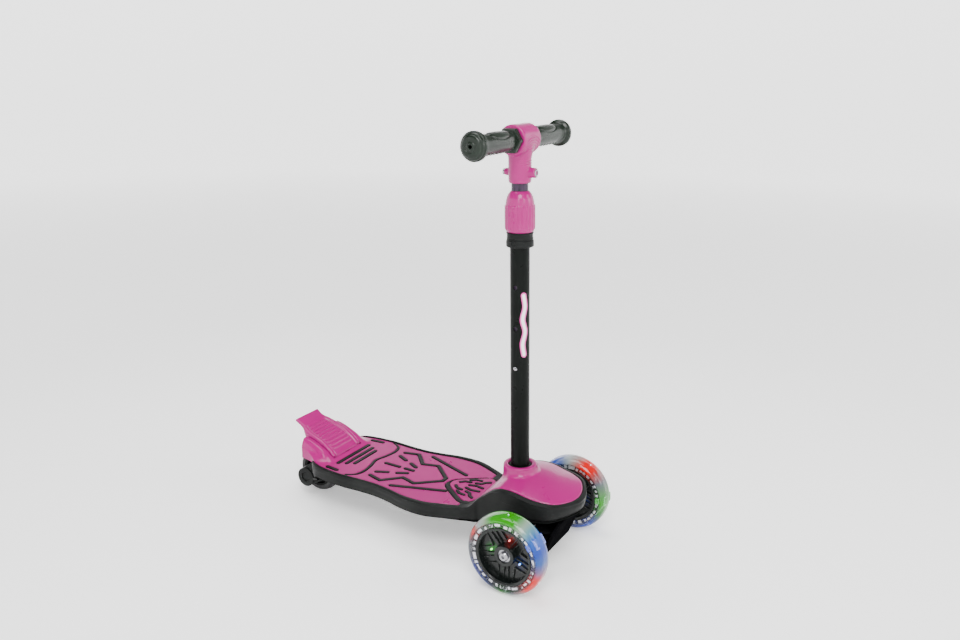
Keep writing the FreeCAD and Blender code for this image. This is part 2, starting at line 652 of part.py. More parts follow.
def snap_spring():
    """A bent strip inside the inner tube: one leg behind the button, one on the far wall."""
    width, gauge, foot, top = 6.0, 0.6, N.lowest_hole - 6, N.lowest_hole + 30
    path = [(-7.9, foot), (-7.9, foot + 12), (0, top), (8.3, foot + 12), (8.3, foot)]
    inner = [Vector(0, y, z) for y, z in path]
    outer = [Vector(0, y * 0.92, z - gauge * 1.6) for y, z in reversed(path)]
    outer[0].z = outer[-1].z = foot
    strip = Part.Face(Part.makePolygon(inner + outer + inner[:1])).extrude(Vector(width, 0, 0))
    strip.translate(Vector(-width / 2, 0, 0))
    return strip


stem_piece(shaped("snap_spring", snap_spring()), "snap_spring")


# ---------------------------------------------------------------- handlebar
def handlebar_head():
    """Pink T: a stem over the inner tube, a saddle over the cross tube and two screw bosses."""
    bar, screw_at, foot = N.bar_height, N.head_screw_height, N.head_foot
    stem = Part.makeCylinder(N.stem_radius, bar - foot - 3, Vector(0, 0, foot + 3))
    stem = stem.fuse(Part.makeCone(N.stem_radius - 2, N.stem_radius, 3, Vector(0, 0, foot)))
    half = N.saddle_half_length
    saddle = Part.makeCylinder(N.saddle_radius, 2 * half, Vector(0, -half, bar), Vector(0, 1, 0))
    saddle = saddle.makeFillet(2.0, [edge for edge in saddle.Edges
                                     if edge.Curve.TypeId == "Part::GeomCircle"])
    front = Part.makeCylinder(6.8, 25, Vector(0, 0, screw_at), Vector(1, 0, 0))
    back = Part.makeCone(7.2, 5.0, 23, Vector(0, 0, screw_at), Vector(-1, 0, 0))
    head = stem.fuse([saddle, front, back])
    tools = [
        Part.makeCylinder(N.inner_tube_radius + PRESS, N.inner_tube_top - foot + 0.2,
                          Vector(0, 0, foot)),
        Part.makeCylinder(N.cross_tube_radius + PRESS, 80, Vector(0, -40, bar), Vector(0, 1, 0)),
        Part.makeCylinder(HEAD_BOLT_HOLE, 80, Vector(-40, 0, screw_at), Vector(1, 0, 0)),
        Part.makeCylinder(4.9, 10, Vector(20.5, 0, screw_at), Vector(1, 0, 0)),
        Part.makeCylinder(4.4, 10, Vector(-19.5, 0, screw_at), Vector(-1, 0, 0)),
    ]
    return head.cut(tools)


stem_piece(shaped("handlebar_head", handlebar_head()), "handlebar_head")

ACROSS = Rotation(Vector(1, 0, 0), -90)                  # a turned piece laid along +Y
half_bar = D.cross_tube_half_length
cross_tube = turned("cross_tube", ring(D.cross_tube_radius, D.cross_tube_radius - 1.5, -half_bar,
                                       half_bar))
cross_tube.Placement = STEM * Placement(Vector(0, 0, N.bar_height), ACROSS)
keep(cross_tube, "cross_tube")


def grip(side):
    """Rubber grip: hexagonal inner collar, barrel with a thumb pad and a mushroom end."""
    start = N.saddle_half_length + SLIP
    collar_end = start + N.hex_collar_width
    corners = [Vector(N.hex_collar_radius * math.cos(math.radians(60 * i)),
                      N.hex_collar_radius * math.sin(math.radians(60 * i)), start)
               for i in range(7)]
    collar = Part.Face(Part.makePolygon(corners)).extrude(Vector(0, 0, N.hex_collar_width))
    flange, end = N.grip_flange_radius, N.grip_end
    profile = [(0, collar_end - 1), (N.grip_radius, collar_end - 1), (N.grip_radius, 108),
               (N.grip_radius + 2.0, N.grip_flange_start - 3), (flange, N.grip_flange_start),
               (flange, end - 8), (flange - 2.2, end - 4.5), (flange - 6, end - 1.5),
               (6, end), (0, end)]
    barrel = Part.Face(Part.makePolygon([Vector(r, 0, z) for r, z in profile + profile[:1]]))
    barrel = barrel.revolve(Vector(0, 0, 0), Vector(0, 0, 1), 360)
    body = collar.fuse(barrel)
    vent_radius = 2.6                                    # lets air out of the mushroom end
    body = body.cut([Part.makeCylinder(N.cross_tube_radius + PRESS, half_bar.value + SLIP - 10,
                                       Vector(0, 0, 10)),
                     Part.makeCylinder(vent_radius, 40, Vector(0, 0, 100))])
    turn = ACROSS if side > 0 else Rotation(Vector(1, 0, 0), 90)
    piece = shaped(f"grip_{'left' if side > 0 else 'right'}", body)
    piece.Placement = STEM * Placement(Vector(0, 0, N.bar_height), turn)
    return piece


for name, side in SIDES.items():
    keep(grip(side), f"grip_{name}")

FORWARD = Rotation(Vector(0, 1, 0), 90)                  # a turned piece laid along +X
head_screw = turned("head_screw", [(0, -24.0), (2.5, -24.0), (2.5, 20.6), (4.6, 20.6),
                                   (4.6, 23.6), (2.0, 24.4), (2.0, 22.4), (0, 22.4)])
head_screw.Placement = STEM * Placement(Vector(0, 0, N.head_screw_height), FORWARD)
keep(head_screw, "head_screw")

nut_blank = turned("head_nut_blank", ring(4.2, 2.52, -24.8, -19.7))
nut_blank.Placement = STEM * Placement(Vector(0, 0, N.head_screw_height), FORWARD)
keep(nut_blank, "head_nut")


# ---------------------------------------------------------------- front wheels
LIGHT_COUNT = 6
MODULE_WIDTH, MODULE_LENGTH = 9.0, 8.0          # round the wheel, and along its axle
SPOKE_PAIRS = 5


def light_blocks(label, side, grow, low, high):
    """One block for each light module, spaced round the wheel."""
    blocks = []
    for step in range(LIGHT_COUNT):
        wide, long = MODULE_WIDTH + 2 * grow, MODULE_LENGTH + 2 * grow
        module = Part.makeBox(high - low, wide, long, Vector(low, -wide / 2, -long / 2))
        module.rotate(Vector(0, 0, 0), Vector(0, 0, 1), 360 / LIGHT_COUNT * step + 30)
        blocks.append(shaped(f"{label}_{side}_{step}", module))
    return blocks


def bearing(label, face):
    """A shielded ball bearing, its outer face at height face."""
    bore, rim, width = D.bearing_bore_radius, D.bearing_radius, D.bearing_width
    back = face - width
    return turned(label, [
        (bore, back), (bore + 2.1, back), (bore + 2.1, back + 0.4), (rim - 1.6, back + 0.4),
        (rim - 1.6, back), (rim, back), (rim, face), (rim - 1.6, face), (rim - 1.6, face - 0.4),
        (bore + 2.1, face - 0.4), (bore + 2.1, face), (bore, face)])


def front_wheel(name, side):
    """Everything that turns on one front axle, and the axle bolt and magnet inside it."""
    centre = (D.front_axle_x, D.half_track * side, D.front_wheel_radius)

    def wheel_piece(obj, label):
        return keep(place(obj, centre, TURNS[name]), f"{label}_{name}")

    edge, rim, half = D.front_wheel_radius, D.front_rim_radius, D.front_tyre_half_width
    core, core_half, crown = D.core_ring_radius, D.core_ring_half_width, D.tyre_crown
    module_low, module_high, gap = 46.0, 54.5, D.running_clearance.value
    skin = turned(f"tyre_turn_{name}", [
        (rim + 0.2, -half), (edge - crown, -half), (edge - crown * 0.35, crown * 0.7 - half),
        (edge, crown * 1.5 - half), (edge, half - crown * 1.5),
        (edge - crown * 0.35, half - crown * 0.7), (edge - crown, half), (rim + 0.2, half),
        (rim + 0.2, core_half + 0.05), (core + 0.05, core_half + 0.05),
        (core + 0.05, -core_half - 0.05), (rim + 0.2, -core_half - 0.05)])
    wheel_piece(cut(f"tyre_cut_{name}", skin, light_blocks(
        "tyre_pocket", name, gap, module_low - 1, module_high + gap)), "tyre")
    core_turn = turned(f"core_turn_{name}", ring(core, rim + gap, -core_half, core_half))
    wheel_piece(cut(f"core_cut_{name}", core_turn, light_blocks(
        "core_pocket", name, gap, module_low - gap, module_high - 0.5)), "core_ring")
    wheel_piece(grouped(f"lights_group_{name}", light_blocks(
        "light", name, 0.0, module_low, module_high)), "lights")

    seat, face, width = D.bearing_radius + PRESS, D.front_bearing_face, D.bearing_width
    hub = turned(f"hub_turn_{name}", [
        (15.5, -face), (15.5, -3), (rim - 4.5, -3), (rim - 4.5, -14.6), (rim, -14.6), (rim, 14.6),
        (rim - 4.5, 14.6), (rim - 4.5, 0), (15.5, 0), (15.5, face), (seat, face),
        (seat, face - width), (9, face - width), (9, width - face), (seat, width - face),
        (seat, -face)])
    spoke_outline = draw(hub, f"spoke_outline_{name}", "XY_Plane", [
        [(15.0, 2.2), (rim - 4.0, 4.2), (rim - 4.0, 6.4), (15.0, 4.4)],
        [(15.0, -4.4), (rim - 4.0, -6.4), (rim - 4.0, -4.2), (15.0, -2.2)]], -0.5)
    spoke = hub.newObject("PartDesign::Pad", f"spoke_{name}")
    spoke.Profile = spoke_outline
    spoke.Length = 9.0
    spokes = hub.newObject("PartDesign::PolarPattern", f"spokes_{name}")
    spokes.Originals = [spoke]
    spokes.Axis = (spoke_outline, ["N_Axis"])
    spokes.Angle = 360.0
    spokes.Occurrences = SPOKE_PAIRS
    hub.Tip = spokes
    wheel_piece(hub, "hub")
    wheel_piece(grouped(f"bearing_pair_{name}", [
        bearing(f"outer_bearing_{name}", face), bearing(f"inner_bearing_{name}", width - face)]),
        "bearings")
    wheel_piece(turned(f"magnet_turn_{name}", ring(8.2, 4.0, width - face + 0.2,
                                                   face - width - 0.2)), "axle_magnet")
    wheel_piece(turned(f"bolt_turn_{name}", [
        (0, -36), (3.95, -36), (3.95, face + 0.3), (6.8, face + 0.3), (6.8, face + 2.6),
        (5.4, face + 4.2), (2.6, face + 4.2), (2.6, face + 1.8), (0, face + 1.8)]), "axle_bolt")


for name, side in SIDES.items():
    front_wheel(name, side)


# ---------------------------------------------------------------- rear wheel
REAR_CENTRE = (REAR_AXLE_X, 0, D.rear_wheel_radius)


def rear_piece(obj, label):
    return keep(place(obj, REAR_CENTRE, TURNS["right"]), label)


edge, half, rim = D.rear_wheel_radius, D.rear_tyre_half_width, D.rear_rim_radius
seat, face, width = D.bearing_radius + PRESS, D.rear_bearing_face, D.bearing_width
rear_piece(turned("rear_tyre", [
    (rim + 0.05, -half), (edge - 5, -half), (edge - 1.6, 3 - half), (edge, 8 - half),
    (edge, half - 8), (edge - 1.6, half - 3), (edge - 5, half), (rim + 0.05, half)]), "rear_tyre")
rear_piece(turned("rear_hub", [
    (15, -face), (15, -5), (rim - 3, -5), (rim - 3, -13.5), (rim, -13.5), (rim, 13.5),
    (rim - 3, 13.5), (rim - 3, 5), (15, 5), (15, face), (seat, face), (seat, face - width),
    (9, face - width), (9, width - face), (seat, width - face), (seat, -face)]), "rear_hub")
rear_piece(grouped("rear_bearings", [bearing("rear_bearing_a", face),
                                     bearing("rear_bearing_b", width - face)]), "rear_bearings")
rear_piece(grouped("rear_spacers", [
    turned("rear_spacer_a", ring(6.4, 4.0, face + 0.1, D.arm_inner - 0.05)),
    turned("rear_spacer_b", ring(6.4, 4.0, 0.05 - D.arm_inner, -face - 0.1))]), "rear_spacers")
rear_piece(turned("rear_axle_bolt", [
    (0, -41.5), (3.95, -41.5), (3.95, 36.1), (7.2, 36.1), (7.2, 41.2), (0, 41.2)]),
    "rear_axle_bolt")
rear_piece(turned("rear_axle_nut", ring(7.2, 3.97, -42.4, -36.1)), "rear_axle_nut")


# ---------------------------------------------------------------- brake
def brake_pedal():
    """Ribbed pedal over the rear wheel, hinged at its front edge, with a shoe underneath."""
    top = [(-174, 83.5), (-183, 92), (-194, 99.5), (-206, 105.5), (-220, 110.5), (-233, 115),
           (-246, 121.5), (-259.5, 130)]
    curve = Part.BSplineCurve()
    curve.interpolate([Vector(x, 0, z) for x, z in top])
    below = Part.BSplineCurve()
    below.interpolate([Vector(x + 1.6, 0, z - 3.4) for x, z in top])
    ends = [Part.LineSegment(curve.StartPoint, below.StartPoint),
            Part.LineSegment(curve.EndPoint, below.EndPoint)]
    wire = Part.Wire(Part.__sortEdges__([c.toShape() for c in [curve, below] + ends]))
    sheet_half, skirt_gauge = N.pedal_half_width, 2.6
    skin = Part.Face(wire).extrude(Vector(0, 2 * sheet_half, 0))
    skin.translate(Vector(0, -sheet_half, 0))
    waist = smooth_outline([(-262, 27.5), (-256, 27), (-250, 26.5), (-245, 27.5), (-238, 31),
                            (-230, 33.5), (-220, 34.5), (-205, sheet_half), (-168, sheet_half)])
    skirt_view = [(-237, 115), (-223, 109.5), (-206, 103), (-194, 97.5), (-183, 90.5), (-182, 80),
                  (-202, 84), (-214, 88.5), (-223, 94), (-233, 102), (-238, 108.5), (-237, 115)]
    skirt = Part.Face(Part.makePolygon([Vector(x, 0, z) for x, z in skirt_view]))
    skirt = skirt.extrude(Vector(0, skirt_gauge, 0))
    skirt.translate(Vector(0, sheet_half - skirt_gauge, 0))
    skin = skin.fuse(both_sides(skirt)).common(prism(waist, 60, 140))
    profile = [Vector(-226, 0, 70), Vector(-226, 0, 110), Vector(-196, 0, 98),
               Vector(-184, 0, 90), Vector(-184, 0, 84), Vector(-196, 0, 76), Vector(-226, 0, 70)]
    shoe = Part.Face(Part.makePolygon(profile)).extrude(Vector(0, 26, 0))
    shoe.translate(Vector(0, -13, 0))
    shoe_gap = 5.0                                       # to the tyre, with the brake off
    shoe = shoe.cut(Part.makeCylinder(N.rear_wheel_radius + shoe_gap, 40, Vector(
        REAR_AXLE_X.value, -20, N.rear_wheel_radius), Vector(0, 1, 0)))
    pin = Vector(N.brake_pin_x, 0, N.brake_pin_z)
    barrel_radius, barrel_start, barrel_end = 4.6, 7.0, 35.5
    barrel = Part.makeCylinder(barrel_radius, barrel_end - barrel_start,
                               pin + Vector(0, barrel_start, 0), Vector(0, 1, 0))
    web = block((pin.x - 1, barrel_start, pin.z), (pin.x + 3, barrel_end, 84.5))
    pedal = skin.fuse([shoe] + both_sides(barrel) + both_sides(web))
    bore = Part.makeCylinder(N.brake_pin_radius + 0.05, 90, Vector(pin.x, -45, pin.z),
                             Vector(0, 1, 0))
    spring_room = block((pin.x - 8, -6.8, 66), (pin.x + 8, 6.8, 82.4))
    return pedal.cut([bore, spring_room])


keep(shaped("brake_pedal", brake_pedal()), "brake_pedal")
keep(cylinder("brake_pin", D.brake_pin_radius, 2 * 43.0, (D.brake_pin_x, -43, D.brake_pin_z),
              Vector(0, 1, 0)), "brake_pin")
keep(shaped("brake_spring", coil(3.6, 0.6, 6, 11.0, (N.brake_pin_x, -5.5, N.brake_pin_z),
                                 (0, 1, 0))), "brake_spring")


# ---------------------------------------------------------------- truck, kingpins and knuckles
TILT = Rotation(Vector(0, 1, 0), N.kingpin_tilt)
AXLE_LINE = Vector(N.front_axle_x, 0, N.front_wheel_radius)
TRUCK = Placement(AXLE_LINE, TILT)


def truck():
    """The moulding under the housing: two ears for each kingpin, joined behind a front web."""
    low, high = N.ear_inner, N.ear_outer
    ear_plan = [(-12, -30), (-9, -55), (0, -61.5), (8, -59), (32, -38), (32, 38), (8, 59),
                (0, 61.5), (-9, 55), (-12, 30), (-12, -30)]
    ear = Part.Face(Part.makePolygon([Vector(x, y, 0) for x, y in ear_plan]))
    ears = [ear.translated(Vector(0, 0, height)).extrude(Vector(0, 0, high - low))
            for height in (low, -high)]
    web_view = [(-38, -high), (38, -high), (42, 0), (46, high), (34, 36), (-34, 36), (-46, high),
                (-42, 0), (-38, -high)]
    web = Part.Face(Part.makePolygon([Vector(31, y, z) for y, z in web_view]))
    web = web.extrude(Vector(4, 0, 0))
    core = block((-12, -24, -high), (12, 24, high))
    stops = [block((14, side * 22 - 2, -low - 1), (31.5, side * 22 + 2, 1)) for side in (-1, 1)]
    body = ears[0].fuse(ears[1:] + [web, core] + stops)
    for side in (-1, 1):
        body = body.cut(Part.makeCylinder(N.kingpin_radius, 60, Vector(0, side * N.kingpin_y, -30)))
    body.Placement = TRUCK
    riser = block((192, -23, 68), (232, 23, 95.95))
    holes = [Part.makeCylinder(TRUCK_SCREW_HOLE, 18, Vector(x, y, 79))
             for x, y in TRUCK_SCREW_SPOTS]
    return body.fuse(riser).cut(holes)


keep(shaped("truck", truck()), "truck")
keep(grouped("truck_screws", [
    place(turned(f"truck_screw_{i}", [
        (0, 80), (TRUCK_SCREW_HOLE - PRESS, 80), (TRUCK_SCREW_HOLE - PRESS, 100.05), (4, 100.05),
        (4, 102.2), (0, 102.2)]), (x, y, 0))
    for i, (x, y) in enumerate(TRUCK_SCREW_SPOTS)]), "truck_screws")


def on_kingpins(label, profile):
    """A turned piece repeated on both kingpins."""
    pair = []
    for name, side in SIDES.items():
        one = turned(f"{label}_{name}", profile)
        one.Placement = TRUCK * Placement(Vector(0, side * N.kingpin_y, 0), Rotation())
        pair.append(one)
    return keep(grouped(label, pair), label)


pin_radius = D.kingpin_radius
on_kingpins("kingpins", [(0, -24.4), (pin_radius, -24.4), (pin_radius, D.ear_outer + PRESS),
                         (6.6, D.ear_outer + PRESS), (6.6, 23.2), (5.6, 24.2), (0, 24.2)])
on_kingpins("kingpin_nuts", ring(6.8, pin_radius + PRESS, -25.4, -D.ear_outer - PRESS))

bush_outer = D.kingpin_radius + 2.0
KNUCKLE_HALF = N.ear_inner - 0.8


def knuckle(side):
    """Barrel on the kingpin, arm out to the axle and steering arm forward to the tie rod."""
    offset = N.half_track - N.kingpin_y
    barrel = Part.makeCylinder(9.5, 2 * KNUCKLE_HALF, Vector(0, 0, -KNUCKLE_HALF))
    arm_length = N.steering_arm
    steer = block((0, -6, -3), (arm_length, 6, 3)).fuse(
        Part.makeCylinder(6, 6, Vector(arm_length, 0, -3)))
    tilted = barrel.fuse(steer)
    tilted.Placement = Placement(Vector(), TILT)
    boss_face = offset - N.front_bearing_face - 0.3
    arm = block((-9, min(0, side * 34), -9), (9, max(0, side * 34), 9))
    boss = Part.makeCylinder(8.6, boss_face - 30, Vector(0, side * 30, 0), Vector(0, side, 0))
    body = tilted.fuse([arm, boss])
    bore = Part.makeCylinder(bush_outer.value + PRESS, 60, Vector(0, 0, -30))
    tie_bore = Part.makeCylinder(3.05 if side > 0 else 3.3, 20, Vector(arm_length, 0, -10))
    for tool in (bore, tie_bore):
        tool.Placement = Placement(Vector(), TILT)
    axle_bore = Part.makeCylinder(3.97, 60, Vector(0, side * (boss_face - 26.2), 0),
                                  Vector(0, side, 0))
    body = body.cut([bore, tie_bore, axle_bore])
    return Placement(AXLE_LINE + Vector(0, side * N.kingpin_y, 0), Rotation()), body


for name, side in SIDES.items():
    spot, body = knuckle(side)
    keep(shaped(f"knuckle_{name}", body, spot), f"knuckle_{name}")
    bushes = []
    for way in (-1, 1):
        outer_end, inner_end = way * (N.ear_inner - 0.3), way * 5.0
        shoulder = way * (KNUCKLE_HALF + PRESS)
        bush = turned(f"bush_{name}_{'upper' if way > 0 else 'lower'}", [
            (pin_radius + D.running_clearance, inner_end), (bush_outer, inner_end),
            (bush_outer, shoulder), (8.8, shoulder), (8.8, outer_end),
            (pin_radius + D.running_clearance, outer_end)])
        bush.Placement = TRUCK * Placement(Vector(0, side * N.kingpin_y, 0), Rotation())
        bushes.append(bush)
    keep(grouped(f"kingpin_bushes_{name}", bushes), f"kingpin_bushes_{name}")


def tie_rod():
    """Flat bar joining the steering arms, with a tab between the centring springs."""
    reach, arm_x = N.kingpin_y, N.steering_arm
    bar = block((arm_x - 5, -reach, 3.4), (arm_x + 5, reach, 8.4))
    ends = [Part.makeCylinder(5, 5, Vector(arm_x, side * reach, 3.4)) for side in (-1, 1)]
    tab = block((arm_x - 4, -2, -10), (arm_x + 4, 2, 4))
    rod = bar.fuse(ends + [tab])
    holes = [Part.makeCylinder(3.02, 20, Vector(arm_x, side * reach, -6)) for side in (-1, 1)]
    return rod.cut(holes)


keep(shaped("tie_rod", tie_rod(), TRUCK), "tie_rod")
rod_pins = []
for name, side in SIDES.items():
    pin = turned(f"rod_pin_{name}", [(0, -6.4), (4.6, -6.4), (4.6, -3.4), (3.0, -3.4), (3.0, 8.45),
                                     (4.6, 8.45), (4.6, 10.2), (0, 10.2)])
    pin.Placement = TRUCK * Placement(Vector(N.steering_arm, side * N.kingpin_y, 0), Rotation())
    rod_pins.append(pin)
keep(grouped("tie_rod_pins", rod_pins), "tie_rod_pins")

springs = []
for side in (-1, 1):
    spring = coil(3.4, 0.7, 5, 15.2, (0, 0, 0), (0, 1, 0))
    spring.translate(Vector(N.steering_arm, 2.9 if side > 0 else -18.1, -6))
    springs.append(shaped(f"centring_spring_{side}", spring, TRUCK * spring.Placement))
keep(grouped("centring_springs", springs), "centring_springs")


# ---------------------------------------------------------------- recompute, check and write
doc.recompute()
faults = []
for obj in doc.Objects:
    if "Invalid" in obj.State or "Error" in obj.State:
        faults.append(f"{obj.Label}: {obj.State}")
for obj in subparts:
    if obj.Shape.isNull() or not obj.Shape.isValid() or not obj.Shape.Solids:
        faults.append(f"{obj.Label}: null, invalid or empty shape")
if faults:
    raise SystemExit("\n".join(faults))
for obj in subparts:
    obj.Shape.exportStep(f"parts/{obj.Label}.step")
print(len(subparts), "sub-parts")
for obj in subparts:
    size = obj.Shape.BoundBox
    print(f"{obj.Label:24s} solids {len(obj.Shape.Solids)}  volume {obj.Shape.Volume:10.1f}"
          f"  x {size.XMin:7.1f}..{size.XMax:7.1f}  y {size.YMin:7.1f}..{size.YMax:7.1f}"
          f"  z {size.ZMin:6.1f}..{size.ZMax:6.1f}")
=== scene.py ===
"""Looks of the three-wheeled kick scooter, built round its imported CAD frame. Metres."""
import json
import math
import random

import bmesh
import bpy
import numpy as np
from mathutils import Matrix, Vector


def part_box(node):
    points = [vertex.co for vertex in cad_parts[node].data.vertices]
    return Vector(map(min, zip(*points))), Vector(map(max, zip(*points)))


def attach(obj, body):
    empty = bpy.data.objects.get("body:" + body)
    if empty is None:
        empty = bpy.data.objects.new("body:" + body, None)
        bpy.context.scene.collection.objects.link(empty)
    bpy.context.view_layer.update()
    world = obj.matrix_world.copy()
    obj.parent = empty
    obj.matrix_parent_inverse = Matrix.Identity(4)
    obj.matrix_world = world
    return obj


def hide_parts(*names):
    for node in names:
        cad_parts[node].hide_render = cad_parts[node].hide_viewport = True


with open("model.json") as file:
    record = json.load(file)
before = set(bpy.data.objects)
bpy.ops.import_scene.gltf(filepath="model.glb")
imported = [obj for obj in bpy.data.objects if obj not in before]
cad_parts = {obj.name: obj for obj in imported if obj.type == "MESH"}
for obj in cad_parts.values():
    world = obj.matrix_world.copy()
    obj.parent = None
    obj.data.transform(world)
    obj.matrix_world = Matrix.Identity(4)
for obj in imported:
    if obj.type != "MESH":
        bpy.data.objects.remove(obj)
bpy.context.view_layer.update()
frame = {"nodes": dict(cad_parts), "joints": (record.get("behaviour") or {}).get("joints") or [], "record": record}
MM = 0.001
MERGE_GAP = 2e-6                               # metres within which mesh points are one
random.seed(7)


# ---- places read from the frame
def joint(name):
    return next(j for j in frame["joints"] if j["name"] == name)


def middle(node):
    low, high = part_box(node)
    return (low + high) / 2


STEM_AXIS = Vector(joint("handlebar_height")["axis"]).normalized()
WHEEL_CENTRE = {side: Vector(joint(f"{side}_wheel_spin")["pos_m"]) for side in ("left", "right")}
REAR_CENTRE = Vector(joint("rear_wheel_spin")["pos_m"])
STEM_FOOT = middle("twist_collar") - STEM_AXIS * (middle("twist_collar").z / STEM_AXIS.z)
SIDES = {"left": 1, "right": -1}


# ---- shader helpers
class Shader:
    """A material with a Principled shader and short ways to wire its nodes."""

    def __init__(self, name, color, roughness=0.4, metallic=0.0, **sockets):
        self.material = bpy.data.materials.new(name)
        self.material.use_nodes = True
        self.tree = self.material.node_tree
        self.bsdf = self.tree.nodes["Principled BSDF"]
        self.set("Base Color", (*color, 1))
        self.set("Roughness", roughness)
        self.set("Metallic", metallic)
        for socket, value in sockets.items():
            self.set(socket.replace("_", " "), value)

    def set(self, socket, value):
        self.bsdf.inputs[socket].default_value = value

    def node(self, kind, **settings):
        made = self.tree.nodes.new(kind)
        for name, value in settings.items():
            if name in made.inputs:
                made.inputs[name].default_value = value
            else:
                setattr(made, name, value)
        return made

    def link(self, source, target):
        self.tree.links.new(source, target)

    def place(self):
        """Object coordinates, which are row-frame metres on every piece here."""
        return self.node("ShaderNodeTexCoord").outputs["Object"]

    def noise(self, scale, detail=3.0, rough=0.5, stretch=None):
        source = self.place()
        if stretch:
            mapping = self.node("ShaderNodeMapping")
            mapping.inputs["Scale"].default_value = stretch
            self.link(source, mapping.inputs["Vector"])
            source = mapping.outputs["Vector"]
        texture = self.node("ShaderNodeTexNoise", Scale=scale, Detail=detail, Roughness=rough)
        self.link(source, texture.inputs["Vector"])
        return texture.outputs["Fac"]

    def ramp(self, source, low, high, out_low, out_high):
        remap = self.node("ShaderNodeMapRange")
        for name, value in zip(("From Min", "From Max", "To Min", "To Max"),
                               (low, high, out_low, out_high)):
            remap.inputs[name].default_value = value
        self.link(source, remap.inputs["Value"])
        return remap.outputs["Result"]

    def tint(self, source, first, second):
        """Mix two colours by source into the base colour."""
        mix = self.node("ShaderNodeMix", data_type="RGBA")
        mix.inputs["A"].default_value = (*first, 1)
        mix.inputs["B"].default_value = (*second, 1)
        self.link(source, mix.inputs["Factor"])
        self.link(mix.outputs["Result"], self.bsdf.inputs["Base Color"])

    def roughen(self, source, least, most, high=0.7):
        """Let roughness follow source between two values."""
        self.link(self.ramp(source, 0.3, high, least, most), self.bsdf.inputs["Roughness"])

    def bump(self, source, strength, distance):
        bump = self.node("ShaderNodeBump", Strength=strength, Distance=distance)
        self.link(source, bump.inputs["Height"])
        self.link(bump.outputs["Normal"], self.bsdf.inputs["Normal"])


def moulded(name, tones, drift, rough, bump, low=0.3, high=0.7, **sockets):
    """A material whose colour and roughness drift with noise, over a fine bump.

    tones are two colours and drift is the (scale, detail) of the noise between them; rough is
    (scale, detail, least, most); bump is (scale, strength, distance).
    """
    shader = Shader(name, tones[0], **sockets)
    shader.tint(shader.ramp(shader.noise(*drift), low, 0.7, 0, 1), *tones)
    scale, detail, least, most = rough
    shader.roughen(shader.noise(scale, detail), least, most, high)
    scale, strength, distance = bump
    shader.bump(shader.noise(scale, 2), strength, distance)
    return shader.material


def inner_paint():
    """Dark violet-black finish of the sliding tube, with fine rub marks along it."""
    shader = Shader("inner_tube_finish", (0.02, 0.01, 0.025), Specular_IOR_Level=0.25)
    marks = shader.noise(60, 5, stretch=(9, 9, 0.6))
    shader.tint(shader.ramp(marks, 0.35, 0.7, 0, 1), (0.014, 0.007, 0.018), (0.04, 0.02, 0.045))
    shader.roughen(marks, 0.22, 0.42)
    return shader.material


def metal(name, color, rough_low, rough_high):
    """Bare metal with fine irregular machining marks."""
    shader = Shader(name, color, metallic=1.0)
    lines = shader.noise(260, 4)
    shader.tint(shader.ramp(lines, 0.3, 0.7, 0, 1), tuple(c * 0.86 for c in color), color)
    shader.roughen(lines, rough_low, rough_high)
    shader.bump(lines, 0.05, 0.0002)
    return shader.material


def plain_plastic(name, first, second, rough=(0.4, 0.55)):
    return moulded(name, (first, second), (50, 4), (140, 3, *rough), (1400, 0.1, 0.0003))


